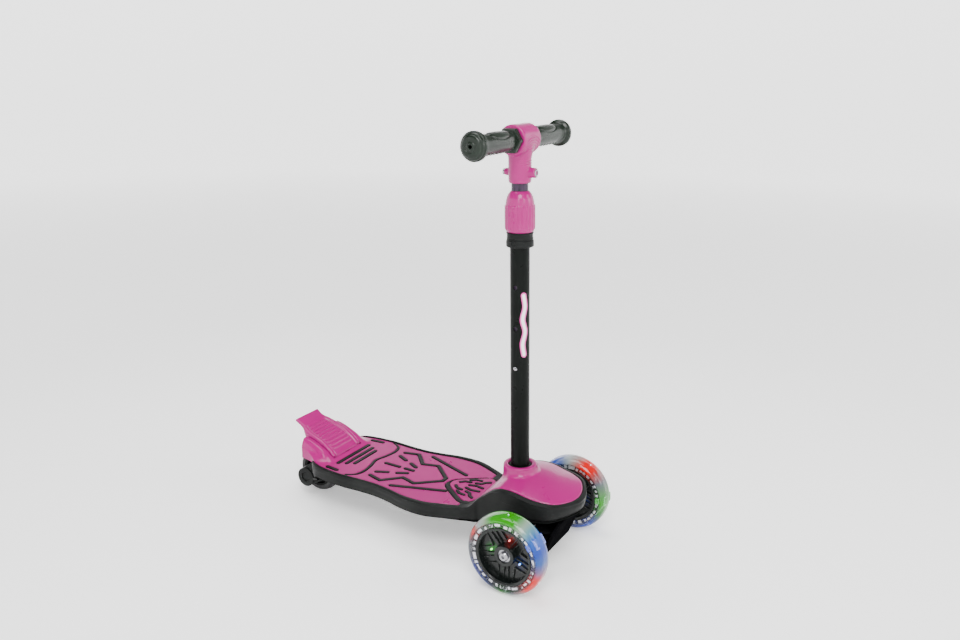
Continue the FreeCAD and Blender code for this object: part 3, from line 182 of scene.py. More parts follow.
PINK = (0.27, 0.0004, 0.112)
MATERIALS = {
    # glossy, with faint orange peel
    "pink_plastic": moulded(
        "pink_plastic", (tuple(c * 0.96 for c in PINK), tuple(c * 1.05 for c in PINK)), (14, 4),
        (45, 4, 0.27, 0.34), (800, 0.05, 0.0003), high=0.75, IOR=1.45, Specular_IOR_Level=0.2,
        Coat_Weight=0.3, Coat_Roughness=0.08),
    # satin, with a moulded texture
    "black_plastic": moulded(
        "black_plastic", ((0.007, 0.0076, 0.0074), (0.012, 0.013, 0.0125)), (22, 5),
        (120, 4, 0.34, 0.48), (1600, 0.15, 0.0004), IOR=1.45, Specular_IOR_Level=0.08),
    # glass-filled nylon of the hidden steering parts
    "knuckle_nylon": moulded(
        "knuckle_nylon", ((0.002, 0.002, 0.0025), (0.004, 0.004, 0.0045)), (180, 5),
        (90, 3, 0.5, 0.7), (1200, 0.2, 0.0004), low=0.35, IOR=1.45, Specular_IOR_Level=0.06),
    # satin powder coat
    "black_paint": moulded(
        "black_paint", ((0.0018, 0.0024, 0.002), (0.0035, 0.0048, 0.004)), (9, 4),
        (70, 4, 0.26, 0.36), (2200, 0.08, 0.0003), low=0.35, IOR=1.45, Specular_IOR_Level=0.09),
    "inner_tube_finish": inner_paint(),
    # dark green-grey rubber with a fine grain
    "grip_rubber": moulded(
        "grip_rubber", ((0.0025, 0.006, 0.003), (0.006, 0.012, 0.007)), (40, 5),
        (150, 4, 0.26, 0.36), (1900, 0.25, 0.0004), IOR=1.45, Specular_IOR_Level=0.1,
        Sheen_Weight=0.02, Sheen_Roughness=0.4, Coat_Weight=0.35, Coat_Roughness=0.2),
    "steel": metal("steel", (0.12, 0.12, 0.13), 0.28, 0.42),
    "bright_metal": metal("bright_metal", (0.32, 0.32, 0.34), 0.16, 0.28),
    "clear_tyre": plain_plastic("clear_tyre", (0.8, 0.82, 0.85), (0.7, 0.74, 0.8), (0.05, 0.12)),
    "core_ring": plain_plastic("core_ring", (0.006, 0.006, 0.007), (0.01, 0.01, 0.012),
                               (0.1, 0.2)),
    "hub_plastic": plain_plastic("hub_plastic", (0.004, 0.005, 0.005), (0.007, 0.009, 0.008),
                                 (0.18, 0.3)),
    "light_module": plain_plastic("light_module", (0.2, 0.45, 0.9), (0.3, 0.6, 1.0), (0.1, 0.2)),
    "magnet": metal("magnet", (0.2, 0.2, 0.21), 0.4, 0.55),
    "rear_tyre_rubber": plain_plastic("rear_tyre_rubber", (0.005, 0.005, 0.0055),
                                      (0.009, 0.009, 0.0095), (0.5, 0.7)),
    "bush_plastic": plain_plastic("bush_plastic", (0.55, 0.55, 0.52), (0.62, 0.62, 0.58)),
}
for part in frame["record"]["subparts"]:
    slots = frame["nodes"][part["node"]].data.materials
    slots.clear()
    slots.append(MATERIALS[part["material_slot"]])


# ---- making meshes
def piece(name, points, faces, slot, body, stands_for=(), place=None, sharp=38, material=None):
    """A mesh piece from points in millimetres, smooth but for edges sharper than an angle."""
    mesh = bpy.data.meshes.new(name)
    points = np.asarray(points, float)
    if place is not None:
        points = points @ np.array(place.to_3x3()).T + np.array(place.translation)
    mesh.from_pydata([tuple(p) for p in points * MM], [], [list(f) for f in faces])
    build = bmesh.new()
    build.from_mesh(mesh)
    bmesh.ops.remove_doubles(build, verts=build.verts, dist=MERGE_GAP)
    loose = [v for v in build.verts if not v.link_faces]
    bmesh.ops.delete(build, geom=loose, context="VERTS")
    bmesh.ops.recalc_face_normals(build, faces=build.faces)
    build.to_mesh(mesh)
    build.free()
    mesh.shade_smooth()
    mesh.set_sharp_from_angle(angle=math.radians(sharp))
    mesh.materials.append(material or MATERIALS[slot])
    thing = bpy.data.objects.new(name, mesh)
    bpy.context.scene.collection.objects.link(thing)
    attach(thing, body)
    if stands_for:
        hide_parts(*stands_for)
    return thing


def skin(rows, over=False):
    """Faces over a grid of rows, joined round each row and, with over, last row to first."""
    count, width = len(rows), len(rows[0])
    faces = []
    for i in range(count if over else count - 1):
        for j in range(width):
            a, b = i * width + j, i * width + (j + 1) % width
            c, d = ((i + 1) % count) * width + (j + 1) % width, ((i + 1) % count) * width + j
            faces.append((a, b, c, d))
    return [point for row in rows for point in row], faces


def softened(profile, radius=0.6, closed=False, steps=4):
    """A polyline with its corners rounded."""
    path = [np.array(p, float) for p in profile]
    result = [] if closed else [path[0]]
    count = len(path)
    for i in range(0 if closed else 1, count if closed else count - 1):
        before, here, after = path[i - 1], path[i], path[(i + 1) % count]
        back, on = before - here, after - here
        reach = min(radius, 0.45 * np.linalg.norm(back), 0.45 * np.linalg.norm(on))
        start = here + back / (np.linalg.norm(back) + 1e-9) * reach
        end = here + on / (np.linalg.norm(on) + 1e-9) * reach
        for step in range(steps + 1):
            t = step / steps
            result.append(start * (1 - t) ** 2 + here * 2 * t * (1 - t) + end * t * t)
    if not closed:
        result.append(path[-1])
    return result


def polar(name, profile, slot, body, place, wave=None, segments=96, closed=False, **more):
    """A piece turned about local Z from (radius, height) points; wave(angle, height, radius)
    gives each point its radius."""
    angles = np.arange(segments) * math.tau / segments
    rows = []
    for radius, height in profile:
        radii = [wave(a, height, radius) if wave else radius for a in angles]
        rows.append([(r * math.cos(a), r * math.sin(a), height) for r, a in zip(radii, angles)])
    points, faces = skin(rows, closed)
    return piece(name, points, faces, slot, body, place=place, **more)


def refined(path, step):
    """The same polyline with more points, about a step apart."""
    dense = []
    for a, b in zip(path, path[1:]):
        count = max(1, int(np.linalg.norm(b - a) / step))
        dense += [a + (b - a) * k / count for k in range(count)]
    return dense + [path[-1]]


def spline(points, steps=8):
    """Points of a smooth open curve through the given ones."""
    knots = np.array(points, float)
    knots = np.vstack([2 * knots[0] - knots[1], knots, 2 * knots[-1] - knots[-2]])
    result = []
    for a, b, c, d in zip(knots, knots[1:], knots[2:], knots[3:]):
        for t in np.arange(steps) / steps:
            result.append(0.5 * (2 * b + (c - a) * t + (2 * a - 5 * b + 4 * c - d) * t ** 2
                                 + (3 * b - a - 3 * c + d) * t ** 3))
    return np.array(result + [knots[-2]])


def plan(points, steps=6):
    """A closed outline, symmetric about the middle line, through (x, half width) points."""
    right = [(x, -half) for x, half in reversed(points) if half > 0]
    if points[-1][1] == 0:
        return spline(points + right, steps)
    return np.vstack([spline(points, steps), spline(right, steps)])


def to_segment(x, y, a, b):
    """Distance to the straight line from a to b."""
    dx, dy = b[0] - a[0], b[1] - a[1]
    share = np.clip(((x - a[0]) * dx + (y - a[1]) * dy) / (dx * dx + dy * dy + 1e-12), 0, 1)
    return np.hypot(x - a[0] - share * dx, y - a[1] - share * dy)


def inside_of(outline):
    """Signed distance to a closed outline, negative inside, as a function of x and y."""
    sides = list(zip(outline, np.roll(outline, -1, 0)))

    def distance(x, y):
        within = np.zeros(np.shape(x), bool)
        for (ax, ay), (bx, by) in sides:
            if by != ay:
                within ^= ((ay > y) != (by > y)) & (x < (bx - ax) * (y - ay) / (by - ay) + ax)
        best = np.minimum.reduce([to_segment(x, y, a, b) for a, b in sides])
        return np.where(within, -best, best)
    return distance


def along(line, half_width):
    """Signed distance to a bar with round ends along a polyline."""
    line = np.array(line, float)
    return lambda x, y: np.minimum.reduce(
        [to_segment(x, y, a, b) for a, b in zip(line, line[1:])]) - half_width


def both(*shapes):
    """The area that any of the shapes covers."""
    return lambda x, y: np.minimum.reduce([shape(x, y) for shape in shapes])


def merged(first, second, blend):
    """Two areas joined with a rounded inner corner."""
    def distance(x, y):
        a, b = first(x, y), second(x, y)
        share = np.clip(0.5 + 0.5 * (b - a) / blend, 0, 1)
        return b * (1 - share) + a * share - blend * share * (1 - share)
    return distance


def without(shape, *holes):
    """The area of a shape less its holes."""
    return lambda x, y: np.maximum.reduce([shape(x, y)] + [-hole(x, y) for hole in holes])


def mirrored(line):
    return [(x, -y) for x, y in line]


def strokes(lines, half_width):
    """Bars along several lines, as one area."""
    return both(*[along(line, half_width) for line in lines])


def split(points, values, triangles, level):
    """Cut triangles along a level of values, which hold one number for each point."""
    snap = 0.04                                # nearer than this, a point counts as on the level
    points, values = list(points), list(values)
    made, result = {}, []

    def between(a, b):
        key = (min(a, b), max(a, b))
        if key not in made:
            share = (level - values[a][0]) / (values[b][0] - values[a][0])
            made[key] = len(points)
            points.append(tuple(p + (q - p) * share for p, q in zip(points[a], points[b])))
            values.append([v + (w - v) * share for v, w in zip(values[a], values[b])])
            values[-1][0] = level
        return made[key]

    for triangle in triangles:
        signs = [0 if abs(values[v][0] - level) < snap else (1 if values[v][0] > level else -1)
                 for v in triangle]
        if 1 not in signs or -1 not in signs:
            result.append(triangle)
            continue
        if 0 in signs:
            turn = signs.index(0)
            a, b, c = (triangle[(turn + k) % 3] for k in range(3))
            middle = between(b, c)
            result += [(a, b, middle), (a, middle, c)]
            continue
        lonely = next(k for k in range(3) if signs[k] != signs[(k + 1) % 3]
                      and signs[k] != signs[(k + 2) % 3])
        a, b, c = (triangle[(lonely + k) % 3] for k in range(3))
        ab, ac = between(a, b), between(a, c)
        result += [(a, ab, ac), (ab, b, c), (ab, c, ac)]
    return points, values, result


def sheet(name, shape, top, slot, body, window, cell=1.0, fillet=1.2, under=-3.0, skirt=(),
          steps=(), warp=None, **more):
    """A moulded sheet over the plan area where shape(x, y) < 0, with a rounded rim.

    top(x, y) is its surface; under is the depth of its underside below the rim, or a function
    of x and y; skirt lists (inset, share of the way down) of extra rows down the walls; steps
    lists (field, levels) along which the surface needs crisp edges.
    """
    x0, x1, y0, y1 = window
    across = int(math.ceil((x1 - x0) / cell)) + 1
    deep = int(math.ceil((y1 - y0) / cell)) + 1
    xs, ys = np.meshgrid(np.linspace(x0, x1, across), np.linspace(y0, y1, deep), indexing="ij")
    xs, ys = xs.ravel(), ys.ravel()
    field = shape(xs, ys)
    triangles = []
    for i in range(across - 1):
        for j in range(deep - 1):
            a, b = i * deep + j, (i + 1) * deep + j
            c, d = b + 1, a + 1
            if min(field[a], field[b], field[c], field[d]) > 0:
                continue
            triangles += [(a, b, c), (a, c, d)] if (i + j) % 2 else [(a, b, d), (b, c, d)]
    points, values, triangles = split(list(zip(xs, ys)), [[v] for v in field], triangles, 0.0)
    triangles = [t for t in triangles if max(values[v][0] for v in t) < 0.05]
    for share in (0.1, 0.32, 0.65, 1.0):
        points, values, triangles = split(points, values, triangles, -fillet * share)
    for other, levels in steps:
        spots = np.array(points)
        extra = other(spots[:, 0], spots[:, 1])
        values = [[e, v[0]] for e, v in zip(extra, values)]
        for level in levels:
            points, values, triangles = split(points, values, triangles, level)
        values = [[v[1]] for v in values]
    used = sorted({v for t in triangles for v in t})
    number = {old: new for new, old in enumerate(used)}
    spots = np.array([points[v] for v in used])
    rim = np.array([values[v][0] for v in used])
    triangles = [tuple(number[v] for v in t) for t in triangles]
    x, y = spots[:, 0], spots[:, 1]
    share = np.clip(-rim / fillet, 0, 1)
    drop = fillet * (1 - np.sqrt(np.clip(1 - (1 - share) ** 2, 0, 1)))
    high = top(x, y) - drop
    low = under(x, y) if callable(under) else top(x, y) + under
    count = len(used)
    edges = dict.fromkeys(edge for a, b, c in triangles for edge in ((a, b), (b, c), (c, a)))
    border = [(a, b) for a, b in edges if (b, a) not in edges]
    on_rim = sorted({v for edge in border for v in edge})
    step = 0.25
    out_x = shape(x + step, y) - shape(x - step, y)
    out_y = shape(x, y + step) - shape(x, y - step)
    size = np.hypot(out_x, out_y) + 1e-9
    out_x, out_y = out_x / size, out_y / size
    solid = [(px, py, pz) for px, py, pz in zip(x, y, high)]
    last_inset = skirt[-1][0] if skirt else 0.0
    is_rim = np.zeros(count, bool)
    is_rim[on_rim] = True
    for px, py, pz, nx, ny, at_rim in zip(x, y, low, out_x, out_y, is_rim):
        inset = last_inset if at_rim else 0.0
        solid.append((px - nx * inset, py - ny * inset, pz))
    faces = triangles + [(c + count, b + count, a + count) for a, b, c in triangles]
    rows = [{v: v for v in on_rim}]
    for inset, down in skirt[:-1]:
        row = {}
        for v in on_rim:
            row[v] = len(solid)
            solid.append((x[v] - out_x[v] * inset, y[v] - out_y[v] * inset,
                          high[v] + (low[v] - high[v]) * down))
        rows.append(row)
    rows.append({v: v + count for v in on_rim})
    for upper, lower in zip(rows, rows[1:]):
        faces += [(upper[b], upper[a], lower[a], lower[b]) for a, b in border]
    solid = np.array(solid)
    if warp:
        solid = warp(solid)
    return piece(name, solid, faces, slot, body, **more)


def basis(along_z, along_x, at=(0, 0, 0)):
    """The placement whose local Z and X lie along these directions."""
    z, x = Vector(along_z).normalized(), Vector(along_x).normalized()
    y = z.cross(x).normalized()
    x = y.cross(z)
    turn = Matrix((x, y, z)).transposed()
    return Matrix.Translation(Vector(at)) @ turn.to_4x4()


# ---- outlines seen from above, mm
DECK = [(-206, 50), (-199, 60), (-189, 68), (-170, 74), (-130, 77.5), (-90, 75.5), (-59, 75.5),
        (-30, 80), (0, 86.5), (35, 87.5), (60, 80.5), (84, 70), (97, 63), (112, 58)]
HOUSING = [(92, 65), (104, 60), (116, 57.5), (130, 58.5), (150, 61.5), (182, 64.5), (209, 63.5),
           (222, 61), (237, 53.5), (249, 38), (257, 20), (260.5, 7), (261, 0)]
COVER = [(101, 41.5), (112, 46), (130, 50), (150, 53.5), (182, 57), (209, 55.5), (222, 52.5),
         (237, 44.5), (247, 29), (252, 14), (253.3, 5), (253.5, 0)]
WAVE = [(-129, 70.5), (-113, 60), (-108, 42), (-111, 20), (-116, 0)]
FRONT_PAD = [(36, 4), (41, 11.5), (50, 19), (60, 26.5), (74, 37), (82, 41.5), (88, 42), (94, 38),
             (99, 26)]
REAR_COVER = [(-229, 50.5), (-220, 51.8), (-205, 55), (-190, 61.5), (-172, 67.3), (-150, 70.3),
              (-130, 71), (-100, 70)]
PAD_LINES = [[(-88, 48.5), (-63.5, 55.3), (-38, 28.3), (-12, 36), (22, 5.5), (22, 0)],
             [(-39, 60.5), (43.5, 31.5)], [(-87, 34), (-70, 25.6)], [(-55.4, 20), (-41, 12.5)]]
MIDDLE_LINES = [[(-92, 0), (-65, 0)], [(-53, 0), (-38, 0)]]
PAD_MARKS = [[(48, 6.5), (54, 12.5), (63, 14)], [(59, 20.5), (66, 26), (75, 27)],
             [(66, 5), (76, 8), (89, 6)], [(72, 15.5), (80, 18), (84, 25), (90, 29)]]
SLOTS = [(-159, 41), (-146.5, 35), (-135, 28)]
POCKET = [(-165, 60.7), (-145, 62.7)]
DECK_TOP = 79.7
PAD_TOP = DECK_TOP + 0.5
SHELL_FLOOR = DECK_TOP - 3.3
COVER_START = 99                               # ahead of this the shell's pocket follows the roof
CROWN_HALF = 57.0                              # half the width of the cover
BORDER_HEIGHT = [(60, 79.7), (92, 79.7), (99, 80.5), (105, 84), (112, 92), (128, 107), (142, 118),
                 (156, 124), (170, 126), (182, 125.5), (209, 120), (222, 118), (237, 115),
                 (253, 112), (265, 110)]
CROWN_HEIGHT = [(60, 79.7), (92, 79.7), (99, 81), (105, 86), (112, 95.5), (128, 113), (142, 126),
                (156, 133), (170, 134.5), (182, 133), (209, 127.5), (222, 124), (237, 119.5),
                (253, 113.5), (265, 110)]
CHEEK_HEIGHT = [(-250, 30), (-236, 30), (-220, 28), (-205, 23), (-188, 15), (-176, 6), (-160, 0),
                (-120, 0), (-100, 0)]
CHEEK_FADE = [(0, 1), (43, 1), (47, 0.85), (52, 0.45), (60, 0.12), (66, 0), (90, 0)]


def smooth_table(table):
    """A smooth look-up through (x, value) pairs that never overshoots."""
    xs, vs = (np.array(column, float) for column in zip(*table))
    runs = np.diff(vs) / np.diff(xs)
    slopes = np.zeros(len(xs))
    for i in range(1, len(xs) - 1):
        if runs[i - 1] * runs[i] > 0:
            slopes[i] = 2 * runs[i - 1] * runs[i] / (runs[i - 1] + runs[i])

    def look_up(x):
        x = np.clip(x, xs[0], xs[-1])
        i = np.clip(np.searchsorted(xs, x) - 1, 0, len(xs) - 2)
        width = xs[i + 1] - xs[i]
        t = (x - xs[i]) / width
        return (vs[i] * (1 + 2 * t) * (1 - t) ** 2 + vs[i + 1] * t * t * (3 - 2 * t)
                + width * (slopes[i] * t * (1 - t) ** 2 - slopes[i + 1] * t * t * (1 - t)))
    return look_up


border_height, crown_height = smooth_table(BORDER_HEIGHT), smooth_table(CROWN_HEIGHT)
cheek_rise, cheek_fade = smooth_table(CHEEK_HEIGHT), smooth_table(CHEEK_FADE)


def roof(x, y):
    """Height of the front housing's surface, crowned across."""
    low, high = border_height(x), crown_height(x)
    return low + (high - low) * (1 - (y / CROWN_HALF) ** 2)


def cheeks(x, y):
    """Height of the rear cover, with the raised cheek on each side of the pedal."""
    return PAD_TOP + cheek_rise(x) * cheek_fade(np.abs(y))


def grown(points, extra):
    """An outline made wider on each side by extra."""
    return [(x, half + extra) for x, half in points]


def wave_line(shift):
    """The wavy line across the deck, moved forward."""
    return spline([(x + shift, half) for x, half in WAVE]
                  + [(x + shift, -half) for x, half in reversed(WAVE[:-1])], 8)


def wave_shape(shift, far_x):
    """The area between the wavy line and a straight line at far_x."""
    line = wave_line(shift)
    return inside_of(np.vstack([line, [(line[-1][0], -95), (far_x, -95), (far_x, 95),
                                       (line[0][0], 95)]]))


# ---- deck, pads and covers
STEM = basis(STEM_AXIS, (1, 0, 0), STEM_FOOT / MM)
LIP_RISE = 1.7
RIM_WIDTH = smooth_table([(-260, 7.4), (-60, 7.4), (0, 9.0), (50, 11.5), (90, 12.5),
                          (120, 12.5)])
WALL_FOOT = smooth_table([(-215, 38), (-206, 40), (-196, 52), (-180, 58.5), (-160, 61.5),
                          (-100, 61.7), (60, 61.5), (90, 60), (112, 59.5), (130, 62), (146, 74),
                          (158, 84), (172, 88), (200, 89.5), (230, 91), (262, 94)])
NECK = np.array([(86, -38), (108, -44), (108, 44), (86, 38)], float)
CREASE = 0.3                                   # width over which a pocket's wall rises
SHOULDER = 1.8                                 # radius of the lip's inner edge
GROOVE_HALF, RIB_HALF = 3.8, 3.2
MARK_GAP_HALF, MARK_HALF = 3.0, 2.5
SLOT_HALF, SLOT_BAR_HALF = 3.8, 3.2
POCKET_HALF, POCKET_BAR_HALF = 4.0, 3.4


def pad_edge(outline, extra):
    """The deck outline moved in by the width of the black rim, less extra."""
    return [(x, half - float(RIM_WIDTH(x)) + extra) for x, half in outline]


def deck_shell():
    """Black moulding: rounded border, side walls and the pockets that the covers lie in."""
    deck, housing = inside_of(plan(DECK)), inside_of(plan(HOUSING, 8))
    outer = merged(deck, housing, 7.0)
    pocket = both(
        inside_of(NECK),
        without(inside_of(plan(pad_edge(DECK[:-2], 1.3))),
                without(inside_of(plan(grown([(-260, 90)] + DECK[:5] + [(-100, 90)], 20))),
                        inside_of(plan(grown(REAR_COVER, 0.35))))),
        inside_of(plan(grown(COVER[:-1], 0.5) + [(254.1, 0)], 8)))

    def top(x, y):
        edge = pocket(x, y)
        share = np.clip(1 - (edge - CREASE) / SHOULDER, 0, 1)
        rise = 0.5 + LIP_RISE * np.clip((82 - x) / 25, 0, 1) * np.clip((x + 215) / 30, 0, 1)
        lip = roof(x, y) + rise - SHOULDER * (1 - np.sqrt(1 - share ** 2))
        floor = np.where(x > COVER_START, roof(x, y) - 3.0, SHELL_FLOOR)
        wall = np.where(edge > 0, floor + (lip - floor) * edge / CREASE, floor)
        return np.where(edge > CREASE, lip, wall)

    skirt = [(-0.35, 0.1), (-0.3, 0.25), (0.4, 0.5), (1.4, 0.75), (2.4, 0.9), (4.0, 0.985),
             (6.5, 1.0)]
    sheet("deck_shell", outer, top, "black_plastic", "chassis", (-210, 266, -92, 92), cell=1.5,
          fillet=3.2, under=lambda x, y: WALL_FOOT(x), skirt=skirt, sharp=50,
          steps=[(pocket, (0.0, CREASE, 0.8, 1.5))])


def level(height):
    """A flat surface at a height."""
    return lambda x, y: np.full(np.shape(x), height)


def pads():
    """Deck pads with black ribs in their grooves, and the black bands between them."""
    deck_area, ahead = inside_of(plan(pad_edge(DECK[2:-2], 0.0))), wave_shape(6.2, 92)
    front = inside_of(plan(FRONT_PAD))
    lines = MIDDLE_LINES + PAD_LINES + [mirrored(line) for line in PAD_LINES]
    marks = PAD_MARKS + [mirrored(line) for line in PAD_MARKS]

    def around(x, y):
        """The area that the front pad's band leaves, wider on the rider's right."""
        return front(x, y) - 4.0 - 6.0 / (1 + np.exp((y + 6) / 5.0))

    def band(x, y):
        return np.maximum.reduce([around(x, y) + 0.9, 1.0 - front(x, y), x - 90 + 0.25 * y])

    skin_area = without(lambda x, y: np.maximum(deck_area(x, y), ahead(x, y)),
                        strokes(lines, GROOVE_HALF), around)
    sheet("pad_skin", skin_area, level(PAD_TOP), "pink_plastic", "chassis",
          (-132, 92, -84, 84), cell=1.2, fillet=0.9, under=-3.6, stands_for=("deck_pad",))
    sheet("pad_ribs", strokes(lines, RIB_HALF), level(PAD_TOP + 1.1), "black_plastic",
          "chassis", (-96, 50, -66, 66), cell=1.0, fillet=1.2, under=-3.3)
    window = (33, 103, -46, 46)
    sheet("front_pad_skin", without(front, strokes(marks, MARK_GAP_HALF)), level(PAD_TOP),
          "pink_plastic", "chassis", window, cell=0.9, fillet=0.8, under=-3.6,
          stands_for=("front_pad",))
    sheet("front_pad_marks", strokes(marks, MARK_HALF), level(PAD_TOP + 0.9),
          "black_plastic", "chassis", window, cell=0.8, fillet=0.5, under=-3.0)
    sheet("pad_band", band, level(PAD_TOP + 0.5), "black_plastic", "chassis",
          (24, 96, -58, 52), cell=1.0, fillet=1.7, under=-3.8)
    sheet("wave_bead", along(wave_line(2.8)[2:-2], 2.3), level(PAD_TOP + 0.7),
          "black_plastic", "chassis", (-134, -98, -76, 76), cell=1.1, fillet=1.1, under=-3.4)


def cover_bars(slot_half, pocket_half):
    """The three slots and two side pockets of the rear cover."""
    return both(strokes([[(x, -half), (x, half)] for x, half in SLOTS], slot_half),
                strokes([POCKET, mirrored(POCKET)], pocket_half))


def covers():
    """The rear cover with its black bars, and the front cover over the housing."""
    outline, behind = inside_of(plan(REAR_COVER)), wave_shape(-0.2, -250)
    well = inside_of(np.array([(-262, -36.4), (-170.8, -36.4), (-170.8, 36.4), (-262, 36.4)]))
    area = without(lambda x, y: np.maximum(outline(x, y), behind(x, y)),
                   cover_bars(SLOT_HALF, POCKET_HALF), well)

    def under(x, y):
        return np.where(x < -176, np.minimum(cheeks(x, y) - 3, 76.2), cheeks(x, y) - 3.6)

    sheet("rear_cover_skin", area, cheeks, "pink_plastic", "chassis", (-240, -98, -74, 74),
          cell=1.1, fillet=1.0, under=under, stands_for=("rear_cover",))
    sheet("slot_bars", cover_bars(SLOT_BAR_HALF, POCKET_BAR_HALF),
          lambda x, y: cheeks(x, y) + 0.8, "black_plastic", "chassis", (-168, -130, -68, 68),
          cell=0.9, fillet=0.9, under=-3.4)

    stem_x = STEM_FOOT.x / MM
    throat = along([(stem_x - 3.0, 0), (stem_x - 3.2, 0)], 19.0)
    sheet("front_cover_skin", without(inside_of(plan(COVER, 8)), throat),
          lambda x, y: roof(x, y) + 0.5, "pink_plastic", "chassis", (100, 258, -60, 60),
          cell=1.4, fillet=2.0, under=-3.4, stands_for=("front_cover",))


def collar_boss():
    """The raised ring that the tube rises from, flared into the front cover."""
    rows = []
    angles = np.arange(112) * math.tau / 112
    centre, top = STEM_FOOT.x / MM - 3.6, 144.0
    for radius, lift in ((33.0, 0.0), (31.0, 0.15), (29.2, 0.7), (27.6, 1.9), (26.5, 3.8),
                         (25.8, 6.0), (25.4, 9.0)):
        ring = [(centre + radius * math.cos(a), radius * math.sin(a)) for a in angles]
        rows.append([(x, y, float(roof(x, y)) + 0.35 + lift) for x, y in ring])
    for radius, height in softened([(25.2, top - 5), (25.0, top), (18.6, top + 0.6),
                                    (17.4, top - 3.0), (17.4, top - 16)], 2.2):
        rows.append([(STEM_FOOT.x / MM - 3.9 + radius * math.cos(a), radius * math.sin(a),
                      height + 0.028 * radius * math.cos(a)) for a in angles])
    rows.append([(centre + 30 * math.cos(a), 30 * math.sin(a), 112) for a in angles])
    points, faces = skin(rows, True)
    piece("collar_boss", points, faces, "pink_plastic", "chassis")
    # painted shade: a black ring filling the gap between the tube and the raised ring, standing in for the shade
    # down in that gap
    polar("tube_gap_shade_ring", softened([(14.2, 126), (17.5, 126), (17.5, 141.6), (16.0, 143.2),
                                 (14.2, 143.2)], 0.8, True), "black_plastic", "chassis", STEM,
          closed=True)


# ---- brake pedal
PEDAL_LINE = [(-174, 83.5), (-183, 92), (-194, 99.5), (-206, 105.5), (-220, 110.5), (-233, 115),
              (-246, 121.5), (-259.5, 130)]
PEDAL_HALF = smooth_table([(-262, 27.5), (-256, 27), (-250, 26.5), (-245, 27.5), (-238, 31),
                           (-230, 33.3), (-220, 34.2), (-205, 34.5), (-168, 34.5)])
SKIRT_FOOT = smooth_table([(-262, 129), (-250, 123), (-244, 117.5), (-238, 108.5), (-233, 101.5),
                           (-223, 93.5), (-214, 88), (-202, 83.5), (-190, 80.5), (-182, 80),
                           (-172, 81)])


def pedal():
    """A curved, ribbed pedal with deep turned-down sides and a flared tip."""
    line = spline(PEDAL_LINE, 22)
    length = np.concatenate([[0], np.cumsum(np.hypot(*np.diff(line, axis=0).T))])
    slopes = np.gradient(line, axis=0)
    normals = np.stack([np.abs(slopes[:, 1]), -slopes[:, 0]], 1)
    normals /= np.linalg.norm(normals, axis=1)[:, None]
    whole = length[-1]
    first_rib, last_rib, ribs = 0.10 * whole, 0.76 * whole, 9
    pitch = (last_rib - first_rib) / ribs
    across = np.concatenate([np.linspace(-1, -0.72, 14), np.linspace(-0.70, 0.70, 34),
                             np.linspace(0.72, 1, 14)])
    rows = []
    for (x, z), (nx, nz), s in zip(line, normals, length):
        half = float(PEDAL_HALF(x)) + 0.4
        foot = float(SKIRT_FOOT(x))
        margin = 7.5 + 2.0 * s / whole
        end = min(1.0, s / 1.6, (whole - s) / 1.6)
        edge_drop = 1.5 * (1 - math.sqrt(max(0.0, 1 - (1 - end) ** 2)))
        fade = max(0.0, min(1.0, (last_rib + 6 - s) / 8))
        upper = []
        for v in across:
            inside = (1 - abs(v)) * half - margin
            dish = 1.5 * fade * max(0.0, min(1.0, (inside + 1.2) / 2.4))
            rib = 0.0
            if inside > 2.2 and first_rib < s < last_rib:
                phase = ((s - first_rib) / pitch) % 1.0
                rib = 0.75 * (1 - math.cos(math.tau * phase))
                rib *= min(1.0, (inside - 2.2) / 1.2)
            bulge = 0.8 * math.sin(math.pi * max(0.0, min(1.0, (abs(v) - 0.7) / 0.3)))
            corner = max(0.0, (abs(v) * half - half + 2.6) / 2.6)
            turn = 2.2 * (1 - math.sqrt(max(0.0, 1 - corner ** 2)))
            lift = 1.9 + rib - dish + bulge * fade - turn - edge_drop
            upper.append((x + nx * lift, v * half, z + nz * lift))
        deep = min(foot, z - 3.6)
        shoulder = z - 2.4
        left = [(x, half - inset, shoulder + (deep - shoulder) * share) for share, inset in
                ((0.35, 0.0), (0.7, 0.15), (0.95, 0.5), (1.0, 1.3), (0.97, 2.6))]
        left.append((x - nx * 3.3, half - 2.7, z - nz * 3.3 if deep < z - 3.7 else z - 3.4))
        rows.append(upper + left + [(px, -py, pz) for px, py, pz in reversed(left)])
    points, faces = skin(rows)
    width = len(rows[0])
    for row in (0, len(rows) - 1):
        faces.append(tuple(row * width + k for k in range(width)))
    piece("pedal_skin", points, faces, "pink_plastic", "brake", sharp=55)


